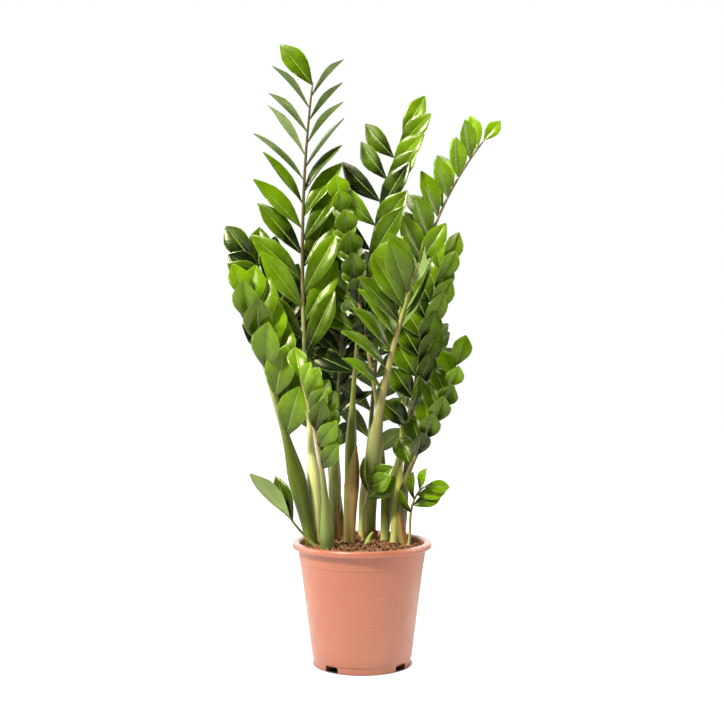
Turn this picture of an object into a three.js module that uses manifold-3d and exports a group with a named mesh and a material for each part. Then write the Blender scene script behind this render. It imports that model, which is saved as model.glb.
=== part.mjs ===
// A potted ZZ plant (Zamioculcas) in its round plastic nursery pot.
//
// Frame: millimetres, +Z up, origin on the pot's axis at the surface it stands on.
// -Y is the front of the plant. Each frond is one solid: a petiole that swells like a bulb at the
// soil, a rachis that tapers to the tip, and its leaflets, which are fused into the rachis.
// The fronds stand in plain holes in the soil, and end in the rhizomes that lie buried in it.

import * as THREE from 'three';
import { mergeVertices } from 'three/addons/utils/BufferGeometryUtils.js';
import Module from 'manifold-3d';

const wasm = await Module();
wasm.setup();

const { sin, cos, sqrt, exp, abs, max, min, floor, pow, hypot, PI } = Math;
const RAD = PI / 180;
const UP = new THREE.Vector3(0, 0, 1);

// ---------------------------------------------------------------- driving dimensions

const GAP = 0.4; // clearance between touching pieces

// Pot: a 21 cm nursery container
const POT_HEIGHT = 184;
const POT_RIM_RADIUS = 105;
const POT_RIM_DROP = 9.5; // height of the rolled lip
const POT_LIP_ROUNDING = 3; // radius of the lip's upper and lower edge
const POT_WALL = 2;
const POT_WALL_TOP_RADIUS = 96; // outside, just under the lip
const POT_WALL_FOOT_RADIUS = 75; // outside, just above the foot band
const POT_BAND_HEIGHT = 153; // a shallow stacking step runs round the wall here
const POT_BAND_STEP = 0.9;
const POT_FOOT_RADIUS = 72.5;
const POT_FOOT_HEIGHT = 11;
const POT_FOOT_INNER_RADIUS = 60;
const POT_FLOOR_UNDERSIDE = 3;
const POT_FLOOR_TOP = 5.5;
const POT_SEGMENTS = 32;

// Drainage notches through the foot ring and the floor's edge
const NOTCH_COUNT = 4;
const NOTCH_FIRST_ANGLE = -38; // degrees from +X
const NOTCH_DEPTH = 26;
const NOTCH_WIDTH = 23;
const NOTCH_HEIGHT = 9;

// Soil
const SOIL_LEVEL = 180;
const SOIL_EDGE_LEVEL = 176;
const SOIL_LUMP = 1.8;
const SOIL_SEGMENTS = 30;
const SOIL_RINGS = [88, 66, 44, 22];

// Petioles and rachises
const BURIED = 34; // length of petiole below the soil's surface
const STEM_SIDES = 6;
const THIN_STEM_SIDES = 5;
const STEM_RINGS = 11;
const SWELL_ABOVE = 46; // how far a bulb's swelling fades out above its widest place
const STEM_TIP_RADIUS = 1.5;
const STEM_END = 0.987; // the rachis ends this far along its route
const STEM_FOOT_TAPER = 0.86; // the buried end's radius, as a share of the radius at the soil

// Leaflets
const LEAF_STATIONS = [0, 0.22, 0.5, 0.78, 1];
const LEAF_WIDEST_POWER = 1.25; // puts the widest place at 57 % of the length
const LEAF_ROUNDNESS = 0.68;
const LEAF_RIB = 0.95; // half of the blade's thickness along its rib
const LEAF_GAZE_UP = 0.3; // how far the leaflets' faces turn to the light above
const LEAF_SPACING_POWER = 0.84; // they stand closer together towards the tip
const LAST_LEAF_SHARE = 0.98; // the last one's root lies this far along the route
const CLEAR_OF_OTHERS = 1.1; // how far a blade keeps from another frond's, in thickness
const CLEAR_OF_STEMS = 1; // how far it keeps from another frond's stem
// What a leaflet that meets another frond does until it is clear: it lifts or sinks, then is shorter.
const BENDS = [0, 9, -9, 18, -18, 28, -28, 40, -40, 54, -54];
const SHORTENINGS = [1, 0.8, 0.62];

// Each frond, from the front of the plant to the back:
//   route    from the soil to the end of the rachis
//   stem     the petiole's radius at the soil, its radius at the bulb, the bulb's height above the
//            soil and the radius of the neck above it
//   facing   azimuth that the frond's upper side looks to, at the foot and at the tip
//            (0 is the front, 90 the right)
//   gaze     azimuth that the leaflets' faces look to, in the left row and in the right row
//   leaves   how many leaflets, and the share of the route where they start
//   fallen   which of them, counted from 0 at the foot, are missing
//   size     a leaflet's length and width
//   angle    a leaflet's angle to the rachis, at the foot and at the tip
//   open     how much of that angle the left row and the right row take
//   lift     how far it stands out of the frond's upper side, at the foot and at the tip
//   twist    0 looks where the gaze says, 90 looks up along the rachis, at the foot and at the tip
//   crown    the last leaflet's lean to the right and its size as a share of the others', and where
//            these differ from its row's, its gaze and its breadth as a share of the others'
//   droop    how much a leaflet bends along its length
//   fold     how far it closes at its rib
const FRONDS = [
  { name: 'frond_front', route: [[14, 50, 180], [18.5, -8, 322], [41.5, -56, 458], [83, -98, 602]],
    stem: [8, 12.5, 150, 9.6], facing: [6, 6], gaze: [-8, 74], leaves: [17, 0.55], fallen: [1, 3, 5],
    size: [102, 41], angle: [48, 44], open: [1, 0.36], lift: [12, 8], twist: [68, 6],
    crown: [16, 0.7, 24], droop: 14, fold: 12, seed: 4 },
  { name: 'frond_short', route: [[-51, -42, 180], [-55.5, -50, 266], [-68, -59, 350], [-91, -68, 436]],
    stem: [11, 11.4, 16, 5.8], facing: [80, 80], gaze: [14, 10], leaves: [12, 0.46], size: [62, 32],
    angle: [50, 50], open: [1, 1], lift: [50, 52], twist: [14, 18], crown: [28, 0.9], droop: 14,
    fold: 12, seed: 9 },
  { name: 'frond_left', route: [[-77, -6, 180], [-110, -12, 327], [-145, -26, 449], [-173, -44, 553]],
    stem: [8.4, 14.2, 78, 7.4], facing: [80, 56], gaze: [0, 16], leaves: [11, 0.37], size: [92, 48],
    angle: [38, 34], open: [1, 0.8], lift: [64, 36], twist: [4, 8], crown: [-8, 0.6], droop: 12,
    fold: 12, seed: 7 },
  { name: 'frond_right_low', route: [[64, 3, 180], [67, 2, 276], [103, -2, 352], [143, -8, 456]],
    stem: [5.8, 6.8, 60, 4], facing: [-74, -50], gaze: [-6, 8], leaves: [12, 0.42], size: [54, 36],
    angle: [48, 36], open: [1, 0.9], lift: [40, 34], twist: [8, 12], crown: [6, 0.85], droop: 12,
    fold: 12, seed: 6 },
  { name: 'frond_centre_near', route: [[34, 14, 180], [27, 18, 355], [-2, 2, 530], [-34, -10, 702]],
    stem: [6.8, 7.2, 40, 4], facing: [96, 92], gaze: [0, 0], leaves: [12, 0.6], size: [50, 41],
    angle: [50, 34], open: [1, 1], lift: [4, 4], twist: [6, 6], crown: [-12, 0.9],
    droop: 10, fold: 10, seed: 10 },
  { name: 'frond_tall_left', route: [[-65, 6, 180], [-84, 14, 413], [-91, 20, 647], [-74, 18, 892]],
    stem: [8, 10.8, 92, 5], facing: [8, 8], gaze: [0, 4], leaves: [23, 0.36], size: [110, 36],
    angle: [42, 42], open: [1, 0.7], lift: [12, 2], twist: [2, 92], crown: [-44, 0.74, 0, 1.3],
    droop: 9, fold: 16, seed: 1 },
  { name: 'frond_tall_centre', route: [[-19, 6, 180], [-14, 16, 395], [10, 40, 610], [68, 56, 818]],
    stem: [7, 9, 150, 4.8], facing: [-24, -24], gaze: [-56, -4], leaves: [19, 0.4], size: [100, 40],
    angle: [38, 32], open: [1.7, 1], lift: [18, 14], twist: [8, 6], crown: [8, 0.7], droop: 10,
    fold: 12, seed: 2 },
  { name: 'frond_tall_right', route: [[49, 10, 180], [64, 34, 392], [95, 56, 608], [200, 60, 812]],
    stem: [7.4, 8.2, 44, 4.4], facing: [-84, -84], gaze: [0, 8], leaves: [20, 0.44], size: [80, 36],
    angle: [56, 46], open: [1, 1], lift: [60, 56], twist: [4, 4], crown: [4, 0.5], droop: 10, fold: 12,
    seed: 3 },
  { name: 'frond_right', route: [[61, 42, 180], [71, 30, 325], [90, 12, 472], [126, 0, 610]],
    stem: [6.6, 7.2, 55, 4.4], facing: [-20, -20], gaze: [-10, 30], leaves: [18, 0.4], size: [66, 38],
    angle: [46, 32], open: [1, 0.55], lift: [10, 10], twist: [10, 10], crown: [10, 0.8], droop: 12,
    fold: 12, seed: 5 },
  { name: 'frond_centre_far', route: [[-39, 60, 180], [-41, 58, 333], [-32, 66, 480], [-31, 74, 611]],
    stem: [7.4, 10.2, 78, 4.8], facing: [170, 170], gaze: [60, 290], leaves: [17, 0.42], size: [78, 30],
    angle: [48, 38], open: [1, 1], lift: [10, 8], twist: [40, 60], crown: [4, 0.8], droop: 12, fold: 12,
    seed: 11 },
  { name: 'frond_left_far', route: [[-64, 46, 180], [-117, 60, 335], [-130, 66, 490], [-174, 62, 618]],
    stem: [7, 9.6, 60, 5.2], facing: [20, 10], gaze: [-20, 20], leaves: [15, 0.5], fallen: [0],
    size: [84, 44], angle: [46, 34], open: [1, 1], lift: [10, 10], twist: [30, 10], crown: [-5, 0.92],
    droop: 12, fold: 12, seed: 8 },
  { name: 'frond_back_left', route: [[-30, 80, 180], [-52, 88, 320], [-62, 98, 452], [-66, 108, 562]],
    stem: [6.6, 9, 60, 4.8], facing: [186, 186], gaze: [180, 190], leaves: [18, 0.32], size: [74, 34],
    angle: [48, 32], open: [1, 1], lift: [14, 12], twist: [14, 16], crown: [6, 0.8], droop: 12,
    fold: 12, seed: 12 },
  { name: 'frond_back', route: [[0, 74, 180], [12, 80, 330], [24, 90, 482], [32, 98, 612]],
    stem: [6.8, 9.2, 64, 5], facing: [174, 174], gaze: [176, 170], leaves: [20, 0.28], size: [78, 34],
    angle: [48, 32], open: [1, 1], lift: [14, 12], twist: [14, 16], crown: [-6, 0.8], droop: 12,
    fold: 12, seed: 13 },
  { name: 'frond_back_right', route: [[36, 72, 180], [58, 82, 300], [84, 90, 410], [104, 96, 498]],
    stem: [6.4, 8.2, 54, 4.6], facing: [150, 150], gaze: [160, 140], leaves: [15, 0.4], size: [70, 33],
    angle: [48, 32], open: [1, 1], lift: [14, 12], twist: [14, 16], crown: [6, 0.8], droop: 12,
    fold: 12, seed: 14 },
  { name: 'sprig_left', route: [[-70, -28, 180], [-84, -31, 195], [-96, -33, 209], [-107, -36, 224]],
    stem: [2.4, 2.4, 6, 2], facing: [-20, -20], gaze: [160, -10], leaves: [6, 0.6],
    fallen: [0, 1, 2, 4], size: [76, 30], angle: [24, 10], open: [1, 1], lift: [-60, -70],
    twist: [4, 4], crown: [-5, 1.16, 150], droop: 12, fold: 12, seed: 15 },
  { name: 'sprig_front', route: [[2, 6, 180], [1.5, 2, 212], [6, -4, 246], [13.5, -10, 271]],
    stem: [2.2, 2.2, 6, 1.9], facing: [-20, -20], gaze: [-80, 10], leaves: [5, 0.55], size: [60, 36],
    angle: [26, 40], open: [0.6, 1.3], lift: [14, 14], twist: [4, 4], crown: [24, 0.78, -10], droop: 10,
    fold: 10, seed: 16 },
  { name: 'sprig_right', route: [[70, -16, 180], [72, -18, 212], [76, -21, 243], [94, -23, 269]],
    stem: [2.2, 2.2, 6, 1.9], facing: [16, 16], gaze: [-64, 10], leaves: [6, 0.5], size: [46, 24],
    angle: [52, 44], open: [0.7, 1.2], lift: [12, 10], twist: [10, 10], crown: [40, 0.9], droop: 10,
    fold: 10, seed: 17 },
];

// Dry sheaths (cataphylls) that still wrap the foot of a frond: which frond, height, the azimuth of
// the middle of the wrap, how wide it is at the foot in degrees, and how far its tip peels away.
const SHEATHS = [
  { name: 'sheath_tall', on: 'frond_tall_centre', height: 148, middle: 22, wrap: 210, peel: 9, seed: 1 },
  { name: 'sheath_collar', on: 'frond_front', height: 24, middle: 10, wrap: 250, peel: 2, seed: 2 },
  { name: 'sheath_left', on: 'frond_tall_left', height: 56, middle: 36, wrap: 70, peel: 1, seed: 3 },
  { name: 'sheath_centre', on: 'frond_centre_far', height: 52, middle: 20, wrap: 100, peel: 4, seed: 4 },
  { name: 'sheath_right', on: 'frond_right_low', height: 44, middle: -20, wrap: 140, peel: 3, seed: 5 },
];
const SHEATH_THICKNESS = 0.8;
const SHEATH_ROOT = 10; // length below the soil's surface
const SHEATH_STATIONS = 6;
const SHEATH_COLUMNS = 4;

// A young shoot that has just broken the soil
const SHOOT = { name: 'new_shoot', route: [[6, -5, 172], [8, -7, 181], [11, -9, 190], [17, -11, 199]],
  radius: 4.6 };

// Rhizomes, buried: centre, radii
const RHIZOMES = [
  { name: 'rhizome_left', centre: [-52, 4, 136], radii: [25, 38, 20], seed: 1 },
  { name: 'rhizome_centre', centre: [-12, 40, 136], radii: [22, 34, 20], seed: 2 },
  { name: 'rhizome_right', centre: [42, 24, 136], radii: [28, 38, 20], seed: 3 },
];
const RHIZOME_LUMP = 0.09;

// ---------------------------------------------------------------- materials

const material = (colour, roughness) =>
  new THREE.MeshStandardMaterial({ color: colour, roughness, metalness: 0 });
const POT_PLASTIC = material(0xcb7a5c, 0.42);
const SOIL_PEAT = material(0x5a3f2c, 0.95);
const LEAF_GREEN = material(0x4f8a1c, 0.32);
const DRY_SHEATH = material(0xa9714f, 0.8);
const SHOOT_GREEN = material(0x9dc24a, 0.4);
const RHIZOME_SKIN = material(0xb58a5c, 0.85);

// ---------------------------------------------------------------- solids and meshes

// A three.js geometry as a solid that can be cut and joined.
function toSolid(geometry) {
  const bare = new THREE.BufferGeometry().setAttribute('position', geometry.getAttribute('position'));
  if (geometry.index) bare.setIndex(geometry.index);
  const merged = mergeVertices(bare, 1e-4);
  return new wasm.Manifold(new wasm.Mesh({
    numProp: 3,
    vertProperties: merged.attributes.position.array,
    triVerts: new Uint32Array(merged.index.array),
  }));
}

function toGeometry(solid) {
  const { vertProperties, triVerts } = solid.getMesh();
  return new THREE.BufferGeometry()
    .setAttribute('position', new THREE.BufferAttribute(vertProperties, 3))
    .setIndex(new THREE.BufferAttribute(triVerts, 1));
}

function piece(name, geometry, look) {
  const mesh = new THREE.Mesh(geometry, look);
  mesh.name = name;
  return mesh;
}

function geometryOf(points, faces) {
  const places = new Float32Array(points.flatMap((p) => p.toArray()));
  return new THREE.BufferGeometry()
    .setAttribute('position', new THREE.BufferAttribute(places, 3))
    .setIndex(faces.flat());
}

const vector = (p) => new THREE.Vector3(...p);
const mix = (range, t) => range[0] + (range[1] - range[0]) * t;

// A repeatable draw from 0 to 1 for the k-th choice about item i.
function draw(i, k) {
  const s = sin(i * 12.9898 + k * 78.233) * 43758.5453;
  return s - floor(s);
}

// ---------------------------------------------------------------- stems

// The smooth curve that passes through four points at 0, 1/3, 2/3 and 1.
function routeThrough([a, b, c, d]) {
  const handle = (p, q, r, s) => new THREE.Vector3()
    .addScaledVector(p, -5).addScaledVector(q, 18).addScaledVector(r, -9).addScaledVector(s, 2)
    .divideScalar(6);
  return new THREE.CubicBezierCurve3(a, handle(a, b, c, d), handle(d, c, b, a), d);
}

// The petiole's and rachis's radius at a length along the stem above the soil.
function stemRadius({ stem: [foot, bulb, bulbHeight, neck] }, along, length) {
  const taper = (at) => STEM_TIP_RADIUS + (neck - STEM_TIP_RADIUS) * pow(max(1 - at / length, 0), 0.9);
  if (along < bulbHeight) {
    const rise = max(along, 0) / bulbHeight;
    return foot + (bulb - foot) * rise * rise * (3 - 2 * rise);
  }
  const fade = (along - bulbHeight) / SWELL_ABOVE;
  return taper(along) + (bulb - taper(bulbHeight)) * exp(-fade * fade);
}

function tangentFrame(curve, t, side) {
  const along = curve.getTangent(t);
  const u = new THREE.Vector3().crossVectors(side, along).normalize();
  return [along, u, new THREE.Vector3().crossVectors(along, u)];
}

// A closed stem along a route, with a straight foot below it. `swollenBy` makes it thicker all over.
function stemSolid(spec, curve, sides, swollenBy = 0) {
  const length = curve.getLength();
  const rings = [];
  const foot = curve.getPoint(0).addScaledVector(curve.getTangent(0), -(BURIED + swollenBy));
  rings.push({ at: foot, t: 0, r: stemRadius(spec, 0, length) * STEM_FOOT_TAPER + swollenBy });
  for (let i = 0; i <= STEM_RINGS; i += 1) {
    const t = (STEM_END * i) / STEM_RINGS;
    rings.push({ at: curve.getPoint(t), t, r: stemRadius(spec, t * length, length) + swollenBy });
  }
  const points = [];
  for (const { at, t, r } of rings) {
    const [, u, v] = tangentFrame(curve, t, new THREE.Vector3(1, 0, 0));
    for (let k = 0; k < sides; k += 1) {
      const a = (2 * PI * k) / sides;
      points.push(at.clone().addScaledVector(u, r * cos(a)).addScaledVector(v, r * sin(a)));
    }
  }
  const faces = [];
  for (let i = 0; i + 1 < rings.length; i += 1) {
    for (let k = 0; k < sides; k += 1) {
      const a = i * sides + k;
      const b = i * sides + ((k + 1) % sides);
      faces.push([a, b, b + sides], [a, b + sides, a + sides]);
    }
  }
  const last = (rings.length - 1) * sides;
  for (let k = 1; k + 1 < sides; k += 1) {
    faces.push([0, k + 1, k], [last, last + k, last + k + 1]);
  }
  return toSolid(geometryOf(points, faces));
}

// ---------------------------------------------------------------- leaflets

// Half-width of a leaflet at a share of its length, as a share of its greatest half-width.
const leafOutline = (u) => pow(max(sin(PI * pow(u, LEAF_WIDEST_POWER)), 0), LEAF_ROUNDNESS);

// Where the i-th leaflet of a frond sits and how it is turned, before it gives way to other fronds.
function leafletOf(frond, curve, i) {
  const [count, start] = frond.leaves;
  const share = i / (count - 1);
  const t = start + (LAST_LEAF_SHARE - start) * pow(share, LEAF_SPACING_POWER);
  const last = i === count - 1;
  const turn = THREE.MathUtils.smoothstep(share, 0.3, 0.72);
  const side = last ? Math.sign(frond.crown[0]) : (i % 2 ? 1 : -1);
  const rowGaze = frond.gaze[side > 0 ? 1 : 0];
  const [lean, crownSize, crownGaze = rowGaze, crownBreadth = 1] = frond.crown;
  const jitter = (k, size) => (draw(frond.seed * 31 + i, k) - 0.5) * 2 * size;
  const profile = last ? crownSize : 0.76 + 0.24 * sin(PI * min(1, 0.22 + share * 0.9));
  return {
    root: curve.getPoint(t),
    along: curve.getTangent(t),
    facing: mix(frond.facing, share),
    gaze: (last ? crownGaze : rowGaze) + jitter(8, 10),
    side,
    angle: last ? abs(lean) : mix(frond.angle, share) * frond.open[side > 0 ? 1 : 0] + jitter(1, 5),
    twist: last ? 0 : mix(frond.twist, turn) + jitter(2, 7),
    lift: last ? 0 : mix(frond.lift, share) + jitter(3, 5),
    length: frond.size[0] * profile * (1 + jitter(4, 0.07)),
    width: frond.size[1] * (last ? crownBreadth : 1) * (0.25 + 0.75 * profile) * (1 + jitter(5, 0.06)),
    droop: frond.droop + jitter(6, 7),
    fold: frond.fold + jitter(7, 4),
  };
}

// The level direction of an azimuth.
const level = (azimuth) => new THREE.Vector3(sin(azimuth * RAD), -cos(azimuth * RAD), 0);

// The part of a direction that is square to another, at unit length.
const squareTo = (axis, direction) => direction.clone()
  .addScaledVector(axis, -axis.dot(direction))
  .normalize();

// The directions of a leaflet: along its rib, across it, and out of its upper face.
function leafAxes(leaf, bend) {
  const face = squareTo(leaf.along, level(leaf.facing));
  const outward = new THREE.Vector3().crossVectors(leaf.along, face).multiplyScalar(leaf.side);
  const lift = (leaf.lift + bend) * RAD;
  const away = outward.multiplyScalar(cos(lift)).addScaledVector(face, sin(lift));
  const rib = leaf.along.clone().multiplyScalar(cos(leaf.angle * RAD))
    .addScaledVector(away, sin(leaf.angle * RAD)).normalize();
  const look = level(leaf.gaze).addScaledVector(UP, LEAF_GAZE_UP).normalize()
    .multiplyScalar(cos(leaf.twist * RAD)).addScaledVector(leaf.along, sin(leaf.twist * RAD));
  const normal = squareTo(rib, look);
  return { rib, normal, across: new THREE.Vector3().crossVectors(normal, rib) };
}

// A point of the blade: u along it, v from -1 to 1 across it, and h out of its face.
function bladePoint(leaf, axes, size, u, v, h) {
  const bow = leaf.droop * RAD;
  const length = leaf.length * size;
  const half = (leaf.width / 2) * sqrt(size) * leafOutline(u) * v;
  const forward = (length * sin(bow * u)) / bow;
  const down = (length * (1 - cos(bow * u))) / bow;
  const normal = axes.normal.clone().multiplyScalar(cos(bow * u)).addScaledVector(axes.rib, sin(bow * u));
  return leaf.root.clone()
    .addScaledVector(axes.rib, forward)
    .addScaledVector(axes.normal, -down)
    .addScaledVector(axes.across, half * cos(leaf.fold * RAD))
    .addScaledVector(normal, abs(half) * sin(leaf.fold * RAD) + h);
}

// The blade as a thin closed solid, thickest at its rib. It starts at station `first`.
function bladeSolid(leaf, axes, size, rib, first = 0) {
  const points = [];
  const rows = LEAF_STATIONS.slice(first).map((u) => {
    const pointed = leafOutline(u) < 1e-6;
    const add = (v, h) => points.push(bladePoint(leaf, axes, size, u, v, h)) - 1;
    if (pointed) {
      const tip = add(0, 0);
      return { left: tip, top: tip, right: tip, under: tip };
    }
    return { left: add(-1, 0), top: add(0, rib), right: add(1, 0), under: add(0, -rib) };
  });
  const faces = [];
  const strip = (a, b, c, d) => {
    if (a !== b) faces.push([a, b, c]);
    if (c !== d) faces.push([a, c, d]);
  };
  for (let i = 0; i + 1 < rows.length; i += 1) {
    const [p, q] = [rows[i], rows[i + 1]];
    strip(p.top, p.left, q.left, q.top);
    strip(p.right, p.top, q.top, q.right);
    strip(p.left, p.under, q.under, q.left);
    strip(p.under, p.right, q.right, q.under);
  }
  if (first > 0) {
    const p = rows[0];
    faces.push([p.left, p.top, p.right], [p.left, p.right, p.under]);
  }
  return toSolid(geometryOf(points, faces));
}

const meets = (a, b) => {
  const [p, q] = [a.boundingBox(), b.boundingBox()];
  const apart = [0, 1, 2].some((k) => p.min[k] > q.max[k] || q.min[k] > p.max[k]);
  return !apart && !a.intersect(b).isEmpty();
};

// ---------------------------------------------------------------- pot

// Points on an arc of a profile, between two angles in degrees.
const arc = (x, z, radius, from, to) => [0, 0.5, 1].map((share) => {
  const a = mix([from, to], share) * RAD;
  return [x + radius * cos(a), z + radius * sin(a)];
});

function makePot() {
  const lipBottom = POT_HEIGHT - POT_RIM_DROP;
  const slope = (POT_WALL_TOP_RADIUS - POT_WALL_FOOT_RADIUS) / (lipBottom - POT_FOOT_HEIGHT);
  const r = (z) => POT_WALL_FOOT_RADIUS + slope * (z - POT_FOOT_HEIGHT);
  const edge = POT_RIM_RADIUS - POT_LIP_ROUNDING;
  const profile = [
    [0, POT_FLOOR_UNDERSIDE],
    [POT_FOOT_INNER_RADIUS, POT_FLOOR_UNDERSIDE],
    [POT_FOOT_INNER_RADIUS + 1.5, 0],
    [POT_FOOT_RADIUS - 1, 0],
    [POT_FOOT_RADIUS, 1],
    [POT_FOOT_RADIUS + 0.8, POT_FOOT_HEIGHT - 1.5],
    [r(POT_FOOT_HEIGHT), POT_FOOT_HEIGHT],
    [r(POT_BAND_HEIGHT), POT_BAND_HEIGHT],
    [r(POT_BAND_HEIGHT) + POT_BAND_STEP, POT_BAND_HEIGHT + 1],
    [POT_WALL_TOP_RADIUS + POT_BAND_STEP / 2, lipBottom + 0.3],
    ...arc(edge, lipBottom + POT_LIP_ROUNDING, POT_LIP_ROUNDING, -85, 0),
    ...arc(edge, POT_HEIGHT - POT_LIP_ROUNDING, POT_LIP_ROUNDING, 0, 90),
    [POT_WALL_TOP_RADIUS + 0.6, POT_HEIGHT],
    [POT_WALL_TOP_RADIUS - POT_WALL, POT_HEIGHT - 2.5],
    [r(POT_FLOOR_TOP) - POT_WALL - 1, POT_FLOOR_TOP],
    [0, POT_FLOOR_TOP],
  ].map(([x, z]) => new THREE.Vector2(x, z));
  const shell = new THREE.LatheGeometry(profile, POT_SEGMENTS).rotateX(PI / 2);
  let solid = toSolid(shell);
  for (let k = 0; k < NOTCH_COUNT; k += 1) {
    const notch = new THREE.BoxGeometry(NOTCH_DEPTH, NOTCH_WIDTH, NOTCH_HEIGHT * 2)
      .translate(POT_FOOT_RADIUS, 0, 0)
      .rotateZ((NOTCH_FIRST_ANGLE + (360 / NOTCH_COUNT) * k) * RAD);
    solid = solid.subtract(toSolid(notch));
  }
  return solid;
}

// ---------------------------------------------------------------- soil and what is buried in it

// Lumps of the soil's surface: a few crossed waves, so that no pattern shows.
const lumps = (x, y) => SOIL_LUMP * (sin(x * 0.21 + 1.3) * cos(y * 0.17 - 0.4)
  + 0.7 * sin(x * 0.11 - y * 0.26 + 2.1) + 0.5 * cos(x * 0.37 + y * 0.31));

function makeSoil(holes) {
  const bottomRadius = POT_WALL_FOOT_RADIUS - POT_WALL - 2.6;
  const topRadius = POT_WALL_TOP_RADIUS - POT_WALL - 1.6;
  const dip = SOIL_LEVEL - SOIL_EDGE_LEVEL;
  const profile = [
    [0, POT_FLOOR_TOP + GAP],
    [bottomRadius, POT_FLOOR_TOP + GAP],
    [topRadius, SOIL_EDGE_LEVEL],
    ...SOIL_RINGS.map((ring) => [ring, SOIL_LEVEL - dip * pow(ring / topRadius, 4)]),
    [0, SOIL_LEVEL],
  ].map(([x, z]) => new THREE.Vector2(x, z));
  const body = new THREE.LatheGeometry(profile, SOIL_SEGMENTS).rotateX(PI / 2);
  const place = body.attributes.position;
  for (let i = 0; i < place.count; i += 1) {
    const [x, y, z] = [place.getX(i), place.getY(i), place.getZ(i)];
    const inner = hypot(x, y) < topRadius - 2;
    if (z > SOIL_EDGE_LEVEL - 1 && inner) place.setZ(i, z + lumps(x, y));
  }
  return holes.reduce((soil, hole) => soil.subtract(hole), toSolid(body));
}

function rhizomeSolid({ centre, radii, seed }, swollenBy = 0) {
  const ball = new THREE.IcosahedronGeometry(1, 1);
  const place = ball.attributes.position;
  for (let i = 0; i < place.count; i += 1) {
    const p = new THREE.Vector3().fromBufferAttribute(place, i);
    const waves = sin(p.x * 4 + seed) + cos(p.y * 5 - seed * 2) + sin(p.z * 3 + p.x * 2 + seed);
    const lump = 1 + RHIZOME_LUMP * waves;
    place.setXYZ(i, ...[p.x, p.y, p.z].map((c, k) => centre[k] + c * (radii[k] * lump + swollenBy)));
  }
  return toSolid(ball);
}

// ---------------------------------------------------------------- dry sheaths and the new shoot

// A papery shell round the foot of a petiole, narrowing to a torn tip that leans away from it.
function sheathSolid(sheath, frond, curve, swollenBy = 0) {
  const length = curve.getLength();
  const span = sheath.height + SHEATH_ROOT;
  const points = [];
  for (let i = 0; i <= SHEATH_STATIONS; i += 1) {
    const s = i / SHEATH_STATIONS;
    const along = -SHEATH_ROOT + span * s - (i === 0 ? swollenBy : 0);
    const t = max(along / length, 0);
    const at = curve.getPoint(t);
    if (along < 0) at.addScaledVector(curve.getTangent(0), along);
    const narrow = max(1 - pow(s, 1.6), 0.06) * (1 + 0.12 * (draw(sheath.seed, i) - 0.5));
    const grow = stemRadius(frond, along, length) * 1.03 + GAP + 0.4 + sheath.peel * s * s;
    for (let k = 0; k <= SHEATH_COLUMNS; k += 1) {
      const spread = (k / SHEATH_COLUMNS - 0.5) * (sheath.wrap * narrow + (2 * swollenBy) / grow / RAD);
      const a = (sheath.middle - 90 + spread) * RAD;
      const out = squareTo(curve.getTangent(t), new THREE.Vector3(cos(a), sin(a), 0));
      for (const skin of [-swollenBy, SHEATH_THICKNESS + swollenBy]) {
        points.push(at.clone().addScaledVector(out, grow + skin));
      }
    }
  }
  const columns = SHEATH_COLUMNS + 1;
  const id = (i, k, skin) => (i * columns + k) * 2 + skin;
  const faces = [];
  const quad = (a, b, c, d) => faces.push([a, b, c], [a, c, d]);
  for (let i = 0; i < SHEATH_STATIONS; i += 1) {
    for (let k = 0; k < SHEATH_COLUMNS; k += 1) {
      quad(id(i, k, 1), id(i, k + 1, 1), id(i + 1, k + 1, 1), id(i + 1, k, 1));
      quad(id(i, k + 1, 0), id(i, k, 0), id(i + 1, k, 0), id(i + 1, k + 1, 0));
    }
    const k = SHEATH_COLUMNS;
    quad(id(i, 0, 0), id(i, 0, 1), id(i + 1, 0, 1), id(i + 1, 0, 0));
    quad(id(i, k, 1), id(i, k, 0), id(i + 1, k, 0), id(i + 1, k, 1));
  }
  for (let k = 0; k < SHEATH_COLUMNS; k += 1) {
    const i = SHEATH_STATIONS;
    quad(id(0, k + 1, 1), id(0, k, 1), id(0, k, 0), id(0, k + 1, 0));
    quad(id(i, k, 1), id(i, k + 1, 1), id(i, k + 1, 0), id(i, k, 0));
  }
  return toSolid(geometryOf(points, faces));
}

// A young shoot: a short spear that tapers to a point.
function shootSolid({ route, radius }, swollenBy = 0) {
  const curve = routeThrough(route.map(vector));
  const points = [];
  const levels = [0, 0.25, 0.5, 0.75];
  for (const t of levels) {
    const [, u, v] = tangentFrame(curve, t, new THREE.Vector3(1, 0, 0));
    const r = radius * (1 - t * t * 0.8) + swollenBy;
    for (let k = 0; k < THIN_STEM_SIDES; k += 1) {
      const a = (2 * PI * k) / THIN_STEM_SIDES;
      points.push(curve.getPoint(t).addScaledVector(u, r * cos(a)).addScaledVector(v, r * sin(a)));
    }
  }
  const tip = points.push(curve.getPoint(1)) - 1;
  const faces = [];
  for (let i = 0; i < levels.length; i += 1) {
    for (let k = 0; k < THIN_STEM_SIDES; k += 1) {
      const a = i * THIN_STEM_SIDES + k;
      const b = i * THIN_STEM_SIDES + ((k + 1) % THIN_STEM_SIDES);
      if (i + 1 === levels.length) faces.push([a, b, tip]);
      else faces.push([a, b, b + THIN_STEM_SIDES], [a, b + THIN_STEM_SIDES, a + THIN_STEM_SIDES]);
    }
  }
  for (let k = 1; k + 1 < THIN_STEM_SIDES; k += 1) faces.push([0, k + 1, k]);
  return toSolid(geometryOf(points, faces));
}

// ---------------------------------------------------------------- the plant

const plants = FRONDS.map((frond) => {
  const curve = routeThrough(frond.route.map(vector));
  const sides = frond.stem[0] > 4 ? STEM_SIDES : THIN_STEM_SIDES;
  return { frond, curve, sides, stem: stemSolid(frond, curve, sides) };
});
const plantNamed = (name) => plants.find(({ frond }) => frond.name === name);

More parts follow.
